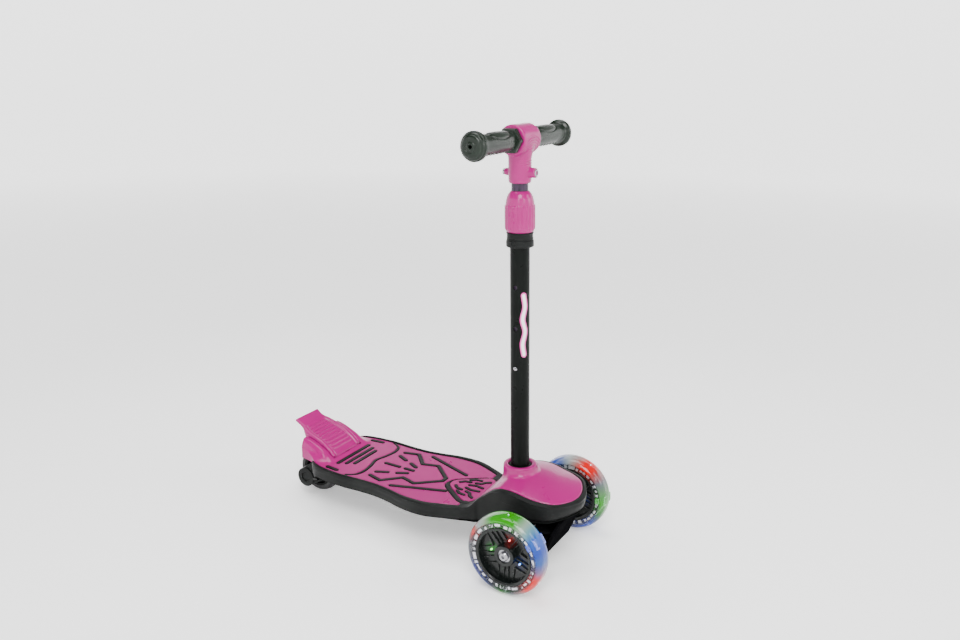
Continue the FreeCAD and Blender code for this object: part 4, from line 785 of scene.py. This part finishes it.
# ---- steering tube and collar
def tube_fittings():
    """Stepped bushing at the top of the tube, its screw boss, and the fluted twist collar."""
    profile = softened([
        (14.05, 473), (18.7, 473), (19.5, 474), (19.5, 481.4), (18.9, 482.4), (18.0, 482.8),
        (18.0, 483.6), (18.8, 484.0), (18.8, 485.2), (18.3, 485.8), (18.3, 491.0), (19.1, 491.8),
        (19.1, 493.4), (15.6, 493.4), (15.6, 532), (12.0, 532), (12.0, 492.2), (14.05, 492.2)],
        0.35, True, 3)
    polar("bushing_skin", profile, "black_plastic", "chassis", STEM, closed=True,
          stands_for=("tube_bushing",))
    outward = STEM @ basis((0, -1, 0), (1, 0, 0), (0, 0, 478.5))
    polar("bushing_boss", softened([(2.75, 17.6), (4.6, 17.6), (4.3, 20.2), (3.1, 20.2),
                                    (2.75, 18.4)], 0.3, True), "black_plastic", "chassis",
          outward, closed=True, segments=40)

    fluted_from, fluted_to, flute_count = 495.5, 532, 22

    def flutes(angle, height, radius):
        if radius < 17 or not fluted_from < height < fluted_to:
            return radius
        strength = min(1.0, (height - fluted_from) / 3, (fluted_to - height) / 1.5)
        ridge = max(-1.0, min(1.0, 2.4 * math.cos(angle * flute_count) + 0.8))
        return radius + 0.62 * strength * (ridge - 1) * 0.5
    outer = softened([(16.05, 493.9), (18.6, 493.9), (21.1, 498.2), (21.3, 505), (21.3, 530.4),
                      (20.2, 531.6), (19.7, 536), (18.3, 542), (16.0, 546.8), (13.2, 550.0),
                      (12.05, 550.6)], 1.0)
    inner = [np.array((12.05, 533.0)), np.array((16.05, 532.6))]
    polar("collar_skin", refined(outer, 2.0) + inner, "pink_plastic", "twist_collar", STEM,
          wave=flutes, segments=336, closed=True, stands_for=("twist_collar",), sharp=50)


def tube_stripe():
    """A plain flowing ribbon of colour down the front of the tube, in place of lettering."""
    low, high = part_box("main_tube")
    radius = (high.y - low.y) / 2 / MM + 0.12
    path = spline([(0.0, 318), (1.9, 334), (-1.8, 352), (1.9, 370), (-1.6, 388), (0.4, 405)], 8)
    aside = 9.5                                # how far round the tube, towards the right

    def wrap(solid):
        angle = (solid[:, 0] + aside) / radius
        reach = radius + solid[:, 2]
        return np.stack([reach * np.cos(-angle), -reach * np.sin(angle), solid[:, 1]], 1)
    for name, half, lift, material in (("stripe_edge", 4.2, 0.10, STRIPE_PINK),
                                       ("stripe_heart", 2.2, 0.22, STRIPE_WHITE)):
        sheet(name, along(path, half), level(lift), "black_paint", "chassis",
              (-10, 10, 310, 416), cell=0.9, fillet=0.08, under=-0.2, warp=wrap, place=STEM,
              material=material)


# ---- handlebar
BAR_HEIGHT = 620.0
SCREW_HEIGHT = 575.6


def head():
    """Pink T with an arched saddle over the bar, two screw bosses and fine front ribs."""
    build = bmesh.new()

    def solid(radius_a, radius_b, length, at, along_axis, rounding=0.0):
        """A round bar or cone, given in millimetres and built ten times smaller."""
        rows, steps = [], 64
        profile = [(0.0, 0.0), (radius_a, 0.0), (radius_b, length), (0.0, length)]
        profile = softened(profile, rounding) if rounding else profile
        turn = basis(along_axis, (1, 0, 0) if abs(along_axis[0]) < 0.9 else (0, 0, 1), at)
        for radius, height in profile:
            rows.append([turn @ Vector((radius * math.cos(a), radius * math.sin(a), height))
                         for a in np.arange(steps) * math.tau / steps])
        points, faces = skin(rows)
        made = [build.verts.new(p * 0.1) for p in points]
        for face in faces:
            build.faces.new([made[k] for k in face])

    foot = 561.3
    solid(15.0, 15.9, 5, (0, 0, foot), (0, 0, 1))
    solid(15.9, 16.2, BAR_HEIGHT - foot - 5, (0, 0, foot + 4.9), (0, 0, 1))
    solid(20.9, 20.9, 46.6, (0, -23.3, BAR_HEIGHT), (0, 1, 0), 2.6)
    solid(16.2, 20.0, 16, (0.0, 0, BAR_HEIGHT - 24), (0, 0, 1))
    solid(7.6, 6.8, 25, (0, 0, SCREW_HEIGHT), (1, 0, 0), 1.0)
    solid(8.2, 4.6, 23, (0, 0, SCREW_HEIGHT), (-1, 0, 0), 0.8)
    bmesh.ops.remove_doubles(build, verts=build.verts, dist=1e-5)
    mesh = bpy.data.meshes.new("head_raw")
    build.to_mesh(mesh)
    build.free()
    raw = bpy.data.objects.new("head_raw", mesh)
    bpy.context.scene.collection.objects.link(raw)
    shell = raw.modifiers.new("voxels", "REMESH")
    shell.mode, shell.voxel_size, shell.use_smooth_shade = "VOXEL", 0.075, True
    smooth = raw.modifiers.new("smooth", "SMOOTH")
    smooth.factor, smooth.iterations = 0.5, 9
    bpy.context.view_layer.update()
    made = bpy.data.meshes.new_from_object(
        raw.evaluated_get(bpy.context.evaluated_depsgraph_get()))
    points = np.array([v.co[:] for v in made.vertices]) * 10
    faces = [list(p.vertices) for p in made.polygons]
    bpy.data.objects.remove(raw)
    x, y, z = points.T
    reach = np.hypot(x, z - BAR_HEIGHT)
    front = np.clip((x - 4) / 6, 0, 1)
    arcs = np.hypot(y, z - (BAR_HEIGHT - 27))
    saddle = (np.clip((21.5 - np.abs(y)) / 1.5, 0, 1)
              * np.clip((z - BAR_HEIGHT + 26) / 3, 0, 1))
    fans = np.clip((arcs - 11) / 2, 0, 1) * np.clip((34 - arcs) / 2, 0, 1) * saddle * front
    swell = np.where(reach > 18, 0.55 * np.cos(arcs * math.tau / 3.6) * fans, 0)
    points[:, 0] += swell * x / (reach + 1e-6)
    points[:, 2] += swell * (z - BAR_HEIGHT) / (reach + 1e-6)
    low = np.clip((BAR_HEIGHT - 24 - z) / 2, 0, 1) * np.clip((z - SCREW_HEIGHT - 8) / 2, 0, 1)
    points[:, 0] += 0.5 * np.cos(z * math.tau / 3.4) * low * front
    piece("head_skin", points, faces, "pink_plastic", "handlebar", place=STEM, sharp=60,
          stands_for=("handlebar_head",))
    screw = STEM @ basis((1, 0, 0), (0, 0, 1), (0, 0, SCREW_HEIGHT))
    polar("head_screw_ring", softened([(2.8, 24.2), (5.0, 24.2), (5.0, 25.6), (4.4, 26.0),
                                       (2.8, 26.0)], 0.3, True), "bright_metal", "handlebar",
          screw, closed=True, segments=48)


def hand_grip(name, side):
    """Rubber grip: six-sided collar, barrel with a thumb pad and bumps, stepped round end."""
    place = STEM @ basis((0, side, 0), (1, 0, 0), (0, 0, BAR_HEIGHT))
    up = -side                                 # local Y of the grip points down on the left
    path = [(12.8, 32.0), (12.8, 35.5), (13.0, 37.5), (13.0, 60), (13.0, 104), (13.4, 110),
            (15.0, 114.2), (18.4, 116.9), (19.3, 118.2), (19.3, 122.6), (18.7, 123.6),
            (17.7, 123.9), (17.6, 125.0), (17.0, 126.6), (16.2, 127.4), (14.8, 127.8),
            (14.6, 128.4), (13.6, 129.3), (12.2, 129.9), (8.2, 130.2), (7.6, 129.7),
            (6.6, 129.7), (6.0, 130.4), (4.4, 131.0), (2.7, 130.8), (2.6, 122.0), (0.0, 122.0)]
    bumps_from, bump_pitch = 42, 9.0

    def shape(angle, height, radius):
        if not 37 < height < 113 or radius < 12.9:
            return radius
        c, s = math.cos(angle), math.sin(angle) * up
        extra = 0.9 * math.sin(math.pi * min(1, max(0, (height - 37) / 75))) ** 0.5
        along_bar = (height - 68) / 25.0
        turn = math.atan2(c, s) - 0.35          # measured from the top, towards the front
        turn = (turn + math.pi) % math.tau - math.pi
        oval = along_bar ** 2 + (turn / 0.78) ** 2
        ditch = math.exp(-((math.sqrt(oval) - 1.06) / 0.07) ** 2)
        extra += 1.2 * max(0.0, 1 - oval) ** 0.35 - 0.7 * ditch
        under = (math.atan2(c, -s) + math.pi) % math.tau - math.pi
        for row, offset in ((0.55, 0.0), (-0.55, 0.5), (0.0, 0.25)):
            spot = (height - bumps_from - offset * bump_pitch) / bump_pitch
            if -0.5 < spot < 6.8:
                gap = (spot - round(spot)) * bump_pitch
                bump = math.exp(-((gap / 1.9) ** 2 + ((under - row) * 13 / 1.5) ** 2))
                extra += 1.3 * bump
        return radius + extra

    polar(f"grip_skin_{name}", refined(softened(path, 0.5), 0.9), "grip_rubber", "handlebar",
          place, wave=shape, segments=176, stands_for=(f"grip_{name}",), sharp=60)

    def six_sided(angle, height, radius):
        part = (angle + 1e-9) % (math.tau / 6) - math.pi / 6
        flat = math.cos(math.pi / 6) / math.cos(part)
        return radius * min(flat, 0.985)
    collar = softened([(11.2, 23.8), (17.6, 23.8), (18.6, 24.5), (18.6, 31.6), (17.6, 32.6),
                       (13.6, 33.0), (12.9, 33.4)], 0.3)
    polar(f"grip_collar_{name}", collar + [np.array((11.2, 33.4))], "grip_rubber",
          "handlebar", place, wave=six_sided, segments=120, closed=True, sharp=25)


# ---- front wheels
def wheel_places(name):
    """A front wheel's side, centre in millimetres and placement with Z outward."""
    side = SIDES[name]
    centre = WHEEL_CENTRE[name] / MM
    return side, centre, basis((0, side, 0), (1, 0, 0), centre)


def spoke(degrees):
    """Direction out from a front axle, in degrees up from straight ahead."""
    a = math.radians(degrees)
    return Vector((math.cos(a), 0, math.sin(a)))


def light_up(shader, centre, spots, strength):
    """Colour a material by glowing spots round the axle; give the distance from the axle.

    spots lists (degrees, colour).
    """
    offset = shader.node("ShaderNodeVectorMath", operation="SUBTRACT")
    shader.link(shader.place(), offset.inputs[0])
    offset.inputs[1].default_value = tuple(centre)
    parts = shader.node("ShaderNodeSeparateXYZ")
    shader.link(offset.outputs[0], parts.inputs[0])
    angle = shader.node("ShaderNodeMath", operation="ARCTAN2")
    shader.link(parts.outputs["Z"], angle.inputs[0])
    shader.link(parts.outputs["X"], angle.inputs[1])
    share = shader.ramp(angle.outputs[0], -math.pi, math.pi, 0, 1)
    wander, shift = 0.035, 0.017               # shares of a turn: how far the colours stray, and
                                               # a shift by half of it that keeps them centred
    noisy = shader.node("ShaderNodeMath", operation="MULTIPLY_ADD")
    shader.link(shader.noise(38, 3), noisy.inputs[0])
    noisy.inputs[1].default_value = wander
    shader.link(share, noisy.inputs[2])
    ramp = shader.node("ShaderNodeValToRGB")
    shader.link(noisy.outputs[0], ramp.inputs[0])
    stops = [(((degrees + 180) % 360) / 360 + shift, color) for degrees, color in spots]
    stops.sort(key=lambda stop: stop[0])
    elements = ramp.color_ramp.elements
    while len(elements) < len(stops):
        elements.new(0.5)
    for element, (at, color) in zip(elements, stops):
        element.position = at
        element.color = (*color, 1)
    shader.link(ramp.outputs[0], shader.bsdf.inputs["Base Color"])
    shader.link(ramp.outputs[0], shader.bsdf.inputs["Emission Color"])
    shader.set("Emission Strength", strength)
    reach = shader.node("ShaderNodeVectorMath", operation="LENGTH")
    flat = shader.node("ShaderNodeCombineXYZ")
    shader.link(parts.outputs["X"], flat.inputs[0])
    shader.link(parts.outputs["Z"], flat.inputs[1])
    shader.link(flat.outputs[0], reach.inputs[0])
    return reach.outputs["Value"]


RED, GREEN, BLUE = (0.40, 0.001, 0.001), (0.012, 0.17, 0.001), (0.0, 0.022, 0.22)
CLEAR, SMOKE = (0.17, 0.20, 0.20), (0.05, 0.055, 0.07)
HUB_GLOWS = [(78, RED), (178, (0.02, 0.45, 0.03)), (-22, BLUE)]
HUB_LAMP_REACH, TREAD_LAMP_REACH = 23.5, 59.7
WEB_REACH, BOLT_HOLE = 39.6, 11.3
MODULE_ANGLE = {"right": 34, "left": 2}
# lamps round each tyre, in degrees up from straight ahead, and the colours washing between them
GLOWS = {"right": [(90, GREEN), (34, BLUE), (-32, RED), (-92, GREEN), (-148, BLUE), (152, RED)],
         "left": [(128, BLUE), (62, RED), (2, GREEN), (-60, BLUE), (-118, RED), (180, SMOKE)]}
# painted light: these colours stand for the lamps' light in the clear tyres, painted into their base colour and
# emission
WASHES = {
    "right": [(-165, SMOKE), (-148, (0.004, 0.012, 0.16)), (-122, (0.01, 0.02, 0.1)),
              (-108, SMOKE), (-92, (0.01, 0.10, 0.006)), (-72, SMOKE), (-58, (0.13, 0.07, 0.07)),
              (-44, RED), (-22, RED), (-8, (0.09, 0.05, 0.12)), (6, (0.01, 0.05, 0.2)),
              (22, BLUE), (42, (0.0, 0.05, 0.24)), (54, (0.08, 0.18, 0.2)),
              (62, (0.16, 0.22, 0.17)), (74, GREEN), (108, GREEN), (122, (0.1, 0.17, 0.09)),
              (137, CLEAR), (146, (0.2, 0.04, 0.03)), (153, RED), (160, (0.16, 0.02, 0.02)),
              (172, SMOKE)],
    "left": [(-150, SMOKE), (-128, (0.12, 0.006, 0.006)), (-108, (0.16, 0.01, 0.01)),
             (-90, SMOKE), (-74, (0.02, 0.03, 0.15)), (-48, BLUE), (-34, (0.03, 0.05, 0.1)),
             (-20, (0.015, 0.1, 0.012)), (0, GREEN), (18, (0.04, 0.12, 0.04)), (32, SMOKE),
             (46, (0.2, 0.03, 0.03)), (54, RED), (70, RED), (82, (0.2, 0.1, 0.09)), (96, CLEAR),
             (108, (0.06, 0.09, 0.2)), (120, BLUE), (140, BLUE), (158, (0.06, 0.08, 0.14))]}


def tyre_material(name):
    """Clear rubber, thin over the patterned ring and washed with the lamps' colours."""
    shader = Shader(f"clear_tyre_{name}", CLEAR, roughness=0.08, IOR=1.5,
                    Specular_IOR_Level=0.2, Coat_Weight=0.4, Coat_Roughness=0.05)
    # painted light: the lamps' light is painted into the base colour and emission, by angle round the axle
    radius = light_up(shader, WHEEL_CENTRE[name], WASHES[name], 0.5)
    shader.link(shader.ramp(radius, 0.0508, 0.0530, 0.12, 0.9), shader.bsdf.inputs["Alpha"])
    shader.roughen(shader.noise(50, 3), 0.06, 0.16)
    shader.bump(shader.noise(90, 2), 0.15, 0.0006)
    return shader.material


def glow_material(name, color, strength):
    """A lit plastic, speckled with a paler tone."""
    shader = Shader(name, color, roughness=0.15, Coat_Weight=1.0)
    shader.tint(shader.ramp(shader.noise(700, 2), 0.4, 0.6, 0, 1), color,
                tuple(min(1, c * 1.6 + 0.1) for c in color))
    shader.set("Emission Color", (*color, 1))
    shader.set("Emission Strength", strength)
    return shader.material


def patchy_chrome():
    """Bright foil with dark patches, as the pattern in the clear ring."""
    shader = Shader("tile_chrome", (0.5, 0.5, 0.52), roughness=0.2, metallic=0.6)
    shader.tint(shader.ramp(shader.noise(95, 2, 0.6), 0.38, 0.46, 0, 1), (0.012, 0.012, 0.014),
                (0.62, 0.62, 0.66))
    return shader.material


def hub_material(name):
    """Black hub plastic with a coloured glow round each small lamp."""
    shader = Shader(f"hub_plastic_{name}", (0.005, 0.006, 0.006), Specular_IOR_Level=0.3)
    shader.tint(shader.ramp(shader.noise(60, 4), 0.3, 0.7, 0, 1), (0.003, 0.004, 0.004),
                (0.006, 0.008, 0.007))
    shader.roughen(shader.noise(160, 3), 0.16, 0.28)
    total = None
    for degrees, color in HUB_GLOWS:
        spot = WHEEL_CENTRE[name] + spoke(degrees) * HUB_LAMP_REACH * MM
        spot.y += SIDES[name] * 0.003
        gap = shader.node("ShaderNodeVectorMath", operation="DISTANCE")
        shader.link(shader.place(), gap.inputs[0])
        gap.inputs[1].default_value = tuple(spot)
        mask = shader.ramp(gap.outputs["Value"], 0.001, 0.0125, 1.0, 0.0)
        tone = shader.node("ShaderNodeVectorMath", operation="SCALE")
        tone.inputs[0].default_value = color
        shader.link(mask, tone.inputs["Scale"])
        if total is None:
            total = tone.outputs[0]
        else:
            add = shader.node("ShaderNodeVectorMath", operation="ADD")
            shader.link(total, add.inputs[0])
            shader.link(tone.outputs[0], add.inputs[1])
            total = add.outputs[0]
    shader.link(total, shader.bsdf.inputs["Emission Color"])
    shader.set("Emission Strength", 0.35)
    return shader.material


def core_tiles(name, body, place):
    """Raised foil tiles of uneven length round both faces of the clear ring."""
    points, faces = [], []
    angle = 0.0
    pattern = random.Random(11)
    while angle < 352:
        run, gap = pattern.choice((4.5, 7.0, 10.0, 12.5)), pattern.choice((3.0, 4.5, 7.0))
        inner = pattern.choice((44.6, 45.4, 46.2))
        outer = pattern.choice((50.2, 49.0, 49.6))
        steps = max(2, int(run / 1.5))
        for face_side in (1, -1):
            start = len(points)
            for k in range(steps + 1):
                a = math.radians(angle + run * k / steps)
                for radius, height in ((inner, 13.7), (inner, 14.15), (inner + 0.5, 14.45),
                                       (outer - 0.5, 14.45), (outer, 14.15), (outer, 13.7)):
                    points.append((radius * math.cos(a), radius * math.sin(a),
                                   face_side * height))
            for k in range(steps):
                here, on = start + k * 6, start + (k + 1) * 6
                faces += [(here + m, on + m, on + m + 1, here + m + 1) for m in range(5)]
                faces.append((here + 5, on + 5, on, here))
            faces.append(tuple(start + m for m in range(6)))
            faces.append(tuple(start + steps * 6 + m for m in reversed(range(6))))
        angle += run + gap
    piece(f"core_tiles_{name}", points, faces, "bright_metal", body, place=place,
          material=TILE_CHROME)


def hub_parts(name, body, place):
    """The spoked hub: rim, and a bowl-shaped web with raised lines and a lip on each face."""
    skin_material = hub_material(name)
    polar(f"hub_rim_{name}", softened([
        (39.0, -14.2), (41.2, -14.9), (43.9, -14.4), (43.9, 14.4), (43.0, 14.9), (41.4, 14.9),
        (40.6, 14.0), (39.6, 13.6), (39.2, 4.0), (39.2, -4.0)], 0.6, True), "hub_plastic", body,
        place, segments=144, closed=True, stands_for=(f"hub_{name}",), material=skin_material,
        sharp=50)
    bars = []
    for turn in range(-90, 270, 72):
        for arm in ([(12.5, 11), (25, 7), (WEB_REACH, 6.2)],
                    [(12.5, -11), (25, -7), (WEB_REACH, -6.2)],
                    [(WEB_REACH, 17), (22.0, 36), (WEB_REACH, 55)]):
            angles = [math.radians(turn + a) for _, a in arm]
            bars.append([(r * math.cos(a), r * math.sin(a)) for (r, _), a in zip(arm, angles)])
    circle = [(WEB_REACH * math.cos(a), WEB_REACH * math.sin(a))
              for a in np.arange(96) * math.tau / 96]
    web = without(inside_of(np.array(circle)), along([(0, 0), (0.01, 0)], BOLT_HOLE))

    def relief(x, y):
        radius = np.hypot(x, y)
        boss = 8.0 * np.clip((16.0 - radius) / 1.2, 0, 1) ** 0.5
        bowl = 2.0 * np.clip((radius - 15) / 24.0, 0, 1) ** 1.5
        return 0.8 + bowl + boss
    window = (-40.5, 40.5, -40.5, 40.5)
    for label, face_place in (("outer", place), ("inner", place @ basis((0, 0, -1), (1, 0, 0)))):
        sheet(f"hub_web_{label}_{name}", web, relief, "hub_plastic", body, window, cell=1.8,
              fillet=0.3, under=level(0.2), place=face_place, material=skin_material, sharp=45)
        # painted highlight: the raised lines take a lighter copy of the black hub plastic, so they look lit
        sheet(f"hub_ribs_{label}_{name}", strokes(bars, 0.5), level(4.4), "hub_plastic", body,
              window, cell=0.75, fillet=0.4, under=level(0.6), place=face_place,
              material=RIB_PAINTED_HIGHLIGHT, sharp=45)
        polar(f"hub_lip_{label}_{name}", softened([
            (9.5, 10.05), (15.7, 10.05), (15.3, 11.6), (14.2, 12.2), (10.5, 12.2), (9.7, 11.4)],
            0.4, True), "hub_plastic", body, face_place, closed=True, segments=64,
            material=skin_material)


def front_wheel(name):
    """A clear tyre over its patterned ring and spoked hub, with its lamps."""
    side, centre, place = wheel_places(name)
    body = f"{name}_wheel"
    tyre = softened([
        (44.2, 14.1), (44.2, 15.0), (46.5, 16.0), (50.5, 16.0), (54.5, 15.2), (58.2, 11.6),
        (59.75, 6.5), (60.0, 0.0), (59.75, -6.5), (58.2, -11.6), (54.5, -15.2), (50.5, -16.0),
        (46.5, -16.0), (44.2, -15.0), (44.2, -14.1), (50.6, -14.1), (50.6, 14.1)], 2.4, True, 5)
    polar(f"tyre_skin_{name}", tyre, "clear_tyre", body, place, segments=144, closed=True,
          stands_for=(f"tyre_{name}",), material=tyre_material(name), sharp=60)
    ring = softened([(44.1, -13.9), (50.3, -13.9), (50.3, 13.9), (44.1, 13.9)], 0.5, True)
    polar(f"core_skin_{name}", ring, "core_ring", body, place, segments=144, closed=True,
          stands_for=(f"core_ring_{name}",))
    core_tiles(name, body, place)
    hub_parts(name, body, place)

    lens = softened([(0.0, 0.5), (0.6, 0.4), (1.0, 0.0), (1.1, -2.0), (0.0, -2.0)], 0.15)
    for index, (degrees, _) in enumerate(GLOWS[name]):
        if degrees == MODULE_ANGLE[name]:
            module_block(name, body, centre, degrees)
            continue
        out = spoke(degrees)
        polar(f"led_{name}_{index}", lens, "light_module", body,
              basis(out, (0, 1, 0), centre + out * TREAD_LAMP_REACH), segments=20,
              material=LED_WHITE)
    lens = softened([(0, 1.0), (0.7, 0.8), (1.1, 0.0), (1.2, -2.5), (0, -2.5)], 0.3)
    for index, (degrees, _) in enumerate(HUB_GLOWS):
        spot = centre + spoke(degrees) * HUB_LAMP_REACH + Vector((0, side * 5.6, 0))
        polar(f"hub_led_{name}_{index}", lens, "light_module", body,
              basis((0, side, 0), (1, 0, 0), spot), segments=24, material=HUB_LEDS[index])


def module_block(name, body, centre, degrees):
    """The lit module seen through the tyre: plain framed cases on both faces and the tread."""
    points, faces = [], []
    for face_side in (1, -1):
        for low, high, half, on_tread in ((45.0, 51.0, 4.6, False), (50.0, 62.0, 7.6, True)):
            middle_r, half_r, corner = (low + high) / 2, (high - low) / 2, 1.2
            outline = []
            for cx, cy, start in ((1, 1, 0), (-1, 1, 90), (-1, -1, 180), (1, -1, 270)):
                for k in range(5):
                    turn = math.radians(start + 22.5 * k)
                    outline.append((cx * (half_r - corner) + corner * math.cos(turn),
                                    cy * (half - corner) + corner * math.sin(turn)))
            rows = []
            for scale, lift in ((0.0, -3.0), (1.0, -3.0), (1.0, 0.1), (0.92, 0.5), (0.74, 0.5),
                                (0.70, -0.2), (0.0, -0.2)):
                row = []
                for u, v in outline:
                    radius = middle_r + u * scale
                    if on_tread:
                        row.append((59.3 - 0.011 * (v * scale) ** 2 + lift, v * scale,
                                    face_side * (u * scale + 6.4)))
                    else:
                        out = 16.0 - 0.055 * max(0.0, radius - 50.5) ** 2 + lift
                        row.append((radius, v * scale, face_side * out))
                rows.append(row)
            made, joined = skin(rows)
            faces += [tuple(k + len(points) for k in face) for face in joined]
            points += made
    piece(f"module_{name}", points, faces, "light_module", body,
          place=basis((0, -1, 0), spoke(degrees), centre),
          stands_for=(f"lights_{name}",), material=MODULES[name])


# painted highlight: a lighter copy of the black hub plastic for the hub's raised lines
RIB_PAINTED_HIGHLIGHT = plain_plastic("rib_painted_highlight", (0.008, 0.010, 0.009), (0.014, 0.017, 0.015), (0.2, 0.3))
TILE_CHROME = patchy_chrome()
LED_WHITE = glow_material("led_white", (0.75, 0.9, 1.0), 4.0)
HUB_LEDS = [glow_material(f"hub_led_{index}", color, 5.0) for index, color in
            enumerate(((1.0, 0.12, 0.1), (0.2, 1.0, 0.15), (0.15, 0.35, 1.0)))]
MODULES = {"right": glow_material("module_blue", (0.0, 0.03, 0.26), 0.5),
           "left": glow_material("module_green", (0.004, 0.16, 0.004), 0.5)}
STRIPE_PINK = plain_plastic("stripe_pink", (0.6, 0.05, 0.3), (0.65, 0.07, 0.33), (0.3, 0.4))
STRIPE_WHITE = plain_plastic("stripe_white", (0.8, 0.8, 0.8), (0.86, 0.86, 0.86), (0.3, 0.4))

truck_skin = plain_plastic("truck_black", (0.0025, 0.0025, 0.003), (0.005, 0.005, 0.0055),
                           (0.7, 0.85))
truck_skin.node_tree.nodes["Principled BSDF"].inputs["Specular IOR Level"].default_value = 0.0
bpy.data.objects["truck"].data.materials[0] = truck_skin
# painted shade: a black disc on each end of the rear axle, standing in for the shade in the deep recess there
for side in (1, -1):
    polar(f"axle_recess_shade_{'left' if side > 0 else 'right'}", softened(
        [(0.0, 42.6), (8.0, 42.6), (8.0, 43.2), (6.8, 43.6), (0.0, 43.4)], 0.2),
        "black_plastic", "chassis", basis((0, side, 0), (1, 0, 0), REAR_CENTRE / MM),
        segments=48)
deck_shell()
pads()
covers()
collar_boss()
pedal()
tube_fittings()
tube_stripe()
head()
for name, side in SIDES.items():
    hand_grip(name, side)
    front_wheel(name)


# ---- stage, light and camera
def soft_light(name, place, target, size, power):
    lamp = bpy.data.lights.new(name, "AREA")
    lamp.shape, lamp.size, lamp.size_y = "RECTANGLE", size[0], size[1]
    lamp.energy = power
    holder = bpy.data.objects.new(name, lamp)
    holder.location = place
    holder.rotation_euler = (Vector(target) - Vector(place)).to_track_quat("-Z", "Y").to_euler()
    bpy.context.scene.collection.objects.link(holder)


def build_stage():
    """A seamless pale floor that curves up far from the object, and soft lights round it."""
    profile = [(0.0, 0.0), (4.5, 0.0), (5.5, 0.06), (6.6, 0.4), (7.4, 1.1), (7.8, 2.1),
               (7.95, 3.4)]
    steps = 64
    points, faces = skin([[(radius * math.cos(k * math.tau / steps),
                            radius * math.sin(k * math.tau / steps), height)
                           for k in range(steps)] for radius, height in profile])
    mesh = bpy.data.meshes.new("floor")
    mesh.from_pydata([tuple(point) for point in points], [], faces)
    mesh.shade_smooth()
    floor = bpy.data.objects.new("floor", mesh)
    bpy.context.scene.collection.objects.link(floor)
    paper = Shader("studio_floor", (0.95, 0.95, 0.95), roughness=0.9)
    paper.tint(paper.ramp(paper.noise(3, 4), 0.3, 0.7, 0, 1), (0.94, 0.94, 0.94),
               (0.96, 0.96, 0.96))
    paper.set("Emission Color", (1, 1, 1, 1))
    away = paper.node("ShaderNodeVectorMath", operation="LENGTH")
    paper.link(paper.place(), away.inputs[0])
    paper.link(paper.ramp(away.outputs["Value"], 1.2, 4.5, 0.3, 1.6),
               paper.bsdf.inputs["Emission Strength"])
    mesh.materials.append(paper.material)
    world = bpy.data.worlds.new("studio")
    world.use_nodes = True
    sky = world.node_tree.nodes["Background"].inputs
    sky["Color"].default_value, sky["Strength"].default_value = (1, 1, 1, 1), 0.28
    bpy.context.scene.world = world
    soft_light("key", (1.0, -1.6, 2.5), (0, 0, 0.25), (1.3, 1.3), 95)
    soft_light("top", (-0.3, 0.2, 2.8), (0, 0, 0.2), (2.0, 1.5), 70)
    soft_light("fill", (2.4, 0.9, 1.5), (0.1, 0, 0.3), (1.0, 1.6), 30)
    for index, spot in enumerate(((0.75, -2.1, 1.5), (2.1, -1.0, 1.4))):
        soft_light(f"spark_{index}", spot, (0.15, 0, 0.5), (0.22, 0.5), 9)


def build_camera():
    """The photograph's viewpoint: from ahead and to the rider's right, 17 degrees above."""
    azimuth, elevation, roll = (math.radians(angle) for angle in (59.69, 16.72, 0.67))
    distance, target = 1.38566, Vector((0.05301, 0.05339, 0.33633))
    back = Vector((math.cos(azimuth) * math.cos(elevation),
                   -math.sin(azimuth) * math.cos(elevation), math.sin(elevation)))
    right = (-back).cross(Vector((0, 0, 1))).normalized()
    up = right.cross(-back)
    turned_right = right * math.cos(roll) + up * math.sin(roll)
    turned_up = up * math.cos(roll) - right * math.sin(roll)
    camera = bpy.data.objects.new("camera", bpy.data.cameras.new("camera"))
    rotation = Matrix((turned_right, turned_up, back)).transposed()
    camera.matrix_world = Matrix.Translation(target + back * distance) @ rotation.to_4x4()
    camera.data.lens, camera.data.sensor_width = 33.76, 36.0
    bpy.context.scene.collection.objects.link(camera)
    bpy.context.scene.camera = camera


build_stage()
build_camera()
